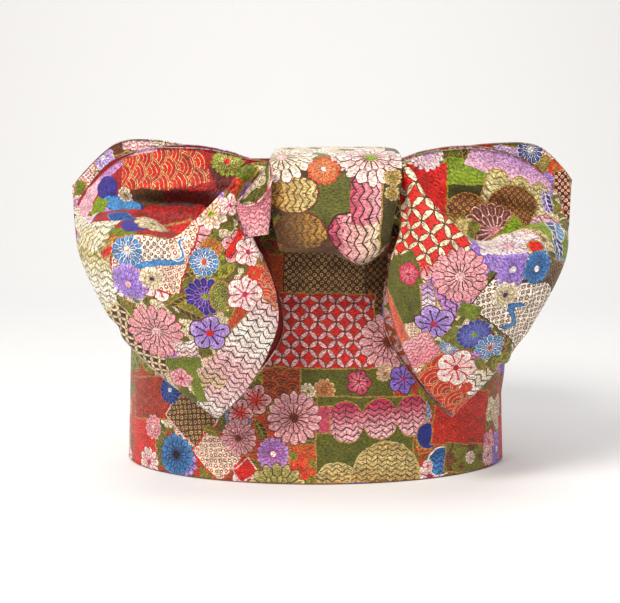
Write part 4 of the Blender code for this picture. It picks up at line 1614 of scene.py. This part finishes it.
# The pattern of the stretches that the picture hides, and its repeat in millimetres.
FIELD_REPEAT = (160, 126)
FIELD = (
    Patch(-46, 34, 27, 17, 14, "seigaiha", 8, "scarlet red gold gold"),
    Patch(44, -34, 24, 20, -12, "chevron", 6, "mauve blush ink gold"),
    Patch(46, 36, 21, 20, 0, "kanoko", 2.7, "ivory white red gold", "disc"),
    Patch(-34, -40, 33, 12, 8, "shippo", 6.0, "olive lime gold gold", "cloud"),
    Patch(4, 44, 16, 17, -6, "satin", 3, "olive moss gold gold"),
    Stamp("kiku", -14, 2, 22.0, 0, "pink blush brown maroon"),
    Stamp("kiku", 34, 3, 18.0, 12, "lilac violet white violet"),
    Stamp("ume", -58, -8, 16.0, 20, "white blush rose rose"),
    Stamp("ume", 7, -38, 15.0, 40, "blush scarlet scarlet maroon"),
    Stamp("daisy", 20, 42, 12.0, 0, "white cream navy gold"),
    Stamp("leaf", -38, -18, 13.0, -40, "leaf moss gold gold"),
    Stamp("leaf", 64, -4, 13.0, 60, "leaf olive gold gold"),
    Stamp("kiku", -68, 48, 13.0, 10, "sky blue ivory white"),
)


def make_camera():
    """Behind the wearer, a little above the bow, at the picture's framing."""
    camera = bpy.data.objects.new("camera", bpy.data.cameras.new("camera"))
    bpy.context.scene.collection.objects.link(camera)
    camera.location = AIM + BACKWARD * DISTANCE
    camera.rotation_euler = (-BACKWARD).to_track_quat("-Z", "Y").to_euler()
    camera.data.sensor_fit = "HORIZONTAL"
    camera.data.sensor_width = SENSOR
    camera.data.lens = SENSOR * FOCUS / PICTURE_WIDTH
    camera.data.shift_x = (PICTURE_WIDTH / 2 - CENTRE_X) / PICTURE_WIDTH
    camera.data.shift_y = (CENTRE_Y - PICTURE_HEIGHT / 2) / PICTURE_WIDTH
    bpy.context.scene.camera = camera


# The daylight that fills the scene.
DAYLIGHT = (1.0, 0.97, 0.93, 1.0)
DAYLIGHT_STRENGTH = 0.31


def make_light():
    """Warm light from behind the wearer on the left, and softer light from the other sides."""

    def lamp(name, spot, aim, side, power, tint=(1.0, 1.0, 1.0)):
        light = bpy.data.lights.new(name, "AREA")
        light.size = side
        light.energy = power
        light.color = tint
        lamp_object = bpy.data.objects.new(name, light)
        lamp_object.location = spot
        lamp_object.rotation_euler = (Vector(aim) - Vector(spot)).to_track_quat("-Z", "Y").to_euler()
        bpy.context.scene.collection.objects.link(lamp_object)

    bow = (0.0, -0.1, 0.0)
    middle = (0.0, 0.0, 0.0)
    lamp("key", (-0.9, -1.7, 1.5), aim=bow, side=0.9, power=60.0, tint=(1.0, 0.96, 0.90))
    lamp("fill", (1.5, -1.4, 0.7), aim=bow, side=1.4, power=10.0, tint=(1.0, 0.98, 0.95))
    lamp("top", (0.0, -0.2, 1.9), aim=middle, side=1.5, power=12.0)
    lamp("front", (0.0, 1.9, 1.2), aim=middle, side=1.5, power=12.0)
    world = bpy.data.worlds.new("studio")
    world.use_nodes = True
    background = world.node_tree.nodes["Background"]
    background.inputs["Color"].default_value = DAYLIGHT
    background.inputs["Strength"].default_value = DAYLIGHT_STRENGTH
    bpy.context.scene.world = world
    bpy.context.scene.view_settings.view_transform = "Standard"
    bpy.context.scene.view_settings.look = "None"


# The floor, just below the hem, and its sweep up into the backdrop.
FLOOR_LEVEL = -BAND_HEIGHT / 2 - 0.0012
FLOOR_FRONT = 3.0
FLOOR_BACK = 1.2
FLOOR_SIDE = 4.0
SWEEP = 0.9
SWEEP_STEPS = 14
SWEEP_START = 0.1
BACKDROP_HEIGHT = 3.4
PAPER = (0.86, 0.86, 0.87, 1.0)
PAPER_ROUGHNESS = 0.9


def make_floor():
    """A pale floor that sweeps up into a backdrop."""
    turns = np.linspace(SWEEP_START, math.pi / 2, SWEEP_STEPS)
    profile = [(-FLOOR_FRONT, 0.0), (FLOOR_BACK, 0.0)]
    profile += [(FLOOR_BACK + SWEEP * math.sin(turn), SWEEP - SWEEP * math.cos(turn)) for turn in turns]
    profile.append((FLOOR_BACK + SWEEP, BACKDROP_HEIGHT))
    points = np.array([[(x, y, FLOOR_LEVEL + z) for x in (-FLOOR_SIDE, FLOOR_SIDE)] for y, z in profile])
    floor = mesh_of("floor", points.reshape(-1, 3), quads(len(profile), 2, False, 0, True))
    floor.data.shade_smooth()
    material = bpy.data.materials.new("paper")
    material.use_nodes = True
    shader = material.node_tree.nodes["Principled BSDF"]
    shader.inputs["Base Color"].default_value = PAPER
    shader.inputs["Roughness"].default_value = PAPER_ROUGHNESS
    floor.data.materials.append(material)


# The steps of a loop's grid, down the cloth and along it, from the flattened sheet's origin to the points
# that set its scale and its sides, and the column of a rear loop's origin.
FRONT_DOWN = 35
FRONT_ALONG = 20
REAR_COLUMN = 20
REAR_DOWN = 40
REAR_ALONG = 12

# Where the face of a front loop changes from one material to the next, below its corner.
FACE_PARTS = (-400, -70, -45, -20, 400)


def loop_slots(cloth, ridge_column, return_row):
    """Which brocade each face of a loop wears: its top, its face in parts, or the layer behind."""
    slots = np.zeros((cloth.shape[0] - 1, cloth.shape[1] - 1), int)
    face = cloth[1:, ridge_column + 1 :, 1] / MM
    slots[:, ridge_column:] = 1 + np.searchsorted(FACE_PARTS[1:-1], face)
    slots[return_row:] = len(FACE_PARTS)
    return slots


# The band's pattern repeats along it, and each part of the repeat is a material of its own.
BAND_REPEAT = (400, 270)
BAND_PARTS = (-200, -58, -22, 20, 78, 200)


def touching(layers, start, end, axis):
    """The layers that reach into a stretch of the cloth, along its x or its y."""
    chosen = []
    for layer in layers:
        reach = layer.radius if isinstance(layer, Stamp) else math.hypot(layer.wide, layer.high)
        if start - reach < getattr(layer, axis) < end + reach:
            chosen.append(layer)
    return chosen


def dress(piece, node):
    """Hides the solid that a piece of cloth stands for, and holds the piece on the root body."""
    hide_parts(node)
    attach(piece, "root")


def make_band(underside):
    """The two turns. The repeat of their brocade comes from the outer turn's zone."""
    parts = []
    for name, turn, shown, hidden in (
        ("outer_turn", 0, [BAND_FACE], BAND_HIDDEN_CREASES),
        ("inner_turn", 1, [], INNER_CREASES),
    ):
        points, cloth = band_grid(turn)
        points, sheet = settled(points, cloth, shown, hidden, flip=True)
        for zone in shown:
            layers = laid(zone, sheet)
            for start, end in zip(BAND_PARTS, BAND_PARTS[1:]):
                chosen = touching(layers, start, end, "x")
                parts.append(brocade("band_brocade_%d" % len(parts), DEEP_GROUND, chosen, BAND_REPEAT))
        middle = (cloth[1:, 1:, 0] + cloth[:-1, :-1, 0]) / 2 / MM
        middle = (middle + BAND_REPEAT[0] / 2) % BAND_REPEAT[0] - BAND_REPEAT[0] / 2
        slots = np.searchsorted(BAND_PARTS[1:-1], middle)
        piece = shell(name, points, cloth, [*parts, underside], slots, flip=True, hem_slot=-1)
        dress(piece, "band_" + name)


def make_front_loop(label, side, sections, top_zone, face_zone, hidden, top_ground, lining, field):
    """A drooping loop: its top and its face in parts, with their own zones, and the layer behind."""
    face, back, crisp = sections
    points = front_wing_grid(side, face, back, crisp)
    ridge_column = sum(FRONT_STEPS[:3]) * FINE_ACROSS
    corner_row = sum(section.steps for section in face[:3]) * FINE_ALONG
    fold_row = sum(section.steps for section in face) * FINE_ALONG
    cloth = flatten(points, (corner_row, ridge_column), (corner_row, ridge_column + FRONT_DOWN),
                    (corner_row + FRONT_ALONG * side, ridge_column))
    points, sheet = settled(points, cloth, [face_zone, top_zone], hidden, flip=side > 0)
    materials = [brocade(label + "_top_brocade", top_ground, laid(top_zone, sheet))]
    layers = laid(face_zone, sheet)
    for k, (start, end) in enumerate(zip(FACE_PARTS, FACE_PARTS[1:])):
        chosen = touching(layers, start, end, "y")
        materials.append(brocade("%s_face_brocade_%d" % (label, k), PALE_GROUND, chosen))
    materials += [field, brocade(label + "_lining", lining)]
    slots = loop_slots(cloth, ridge_column, fold_row)
    piece = shell(label + "_front_loop", points, cloth, materials, slots, flip=side > 0)
    dress(piece, label + "_wing_front")


def make_rear_loop(label, side, sections, zone, hidden, field, underside):
    """The loop nested behind a drooping one: its zone shows, and the rest has the field's pattern."""
    points = rear_wing_grid(side, sections)
    rows, columns = points.shape[:2]
    first = rows // 3
    cloth = flatten(points, (first, REAR_COLUMN), (first, REAR_COLUMN + REAR_DOWN),
                    (first + REAR_ALONG * side, REAR_COLUMN))
    slots = np.zeros((rows - 1, columns - 1), int)
    slots[rows // 2 + FINE_ALONG :] = 1
    points, sheet = settled(points, cloth, [zone], hidden, flip=side > 0)
    front = brocade(label + "_rear_brocade", PALE_GROUND, laid(zone, sheet))
    piece = shell(label + "_rear_loop", points, cloth, [front, field, underside], slots, flip=side > 0)
    dress(piece, label + "_wing_rear")


def make_knot(underside):
    """The strip wrapped round the bow's middle."""
    points, cloth = cover_grid()
    points, sheet = settled(points, cloth, [KNOT_FACE], [], closed=True, flip=True)
    slots = np.zeros((points.shape[0], points.shape[1] - 1), int)
    wrap = brocade("knot_brocade", KNOT_GROUND, laid(KNOT_FACE, sheet))
    piece = shell("knot_wrap", points, cloth, [wrap, underside], slots, closed=True, flip=True)
    dress(piece, "knot_cover")


def make_cuff():
    """The knot's folded corner, opened as a funnel."""
    points, cloth = cuff_grid()
    slots = np.zeros((points.shape[0], points.shape[1] - 1), int)
    materials = [brocade("funnel_brocade", CUFF_OUTSIDE), brocade("funnel_lining", CUFF_LINING)]
    piece = shell("knot_funnel", points, cloth, materials, slots, wall=CUFF_CLOTH, closed=True, tip=True)
    dress(piece, "knot_cuff")


def build():
    underside = brocade("silk_underside", UNDERSIDE)
    field = brocade("brocade_field", DEEP_GROUND)
    make_band(underside)
    make_front_loop("left", -1, (LEFT_FRONT, LEFT_FRONT_RETURN, LEFT_CRISP), LEFT_TOP, LEFT_FACE,
                    LEFT_HIDDEN_CREASES, RED_SATIN, RED_SATIN, field)
    make_front_loop("right", 1, (RIGHT_FRONT, RIGHT_FRONT_RETURN, RIGHT_CRISP), RIGHT_TOP, RIGHT_FACE,
                    RIGHT_HIDDEN_CREASES, PALE_GROUND, RIGHT_LINING, field)
    make_rear_loop("left", -1, LEFT_REAR, LEFT_REAR_FACE, LEFT_REAR_HIDDEN_CREASES, field, underside)
    make_rear_loop("right", 1, RIGHT_REAR, RIGHT_REAR_FACE, RIGHT_REAR_HIDDEN_CREASES, field, underside)
    make_knot(underside)
    make_cuff()


make_camera()
make_light()
make_floor()
build()
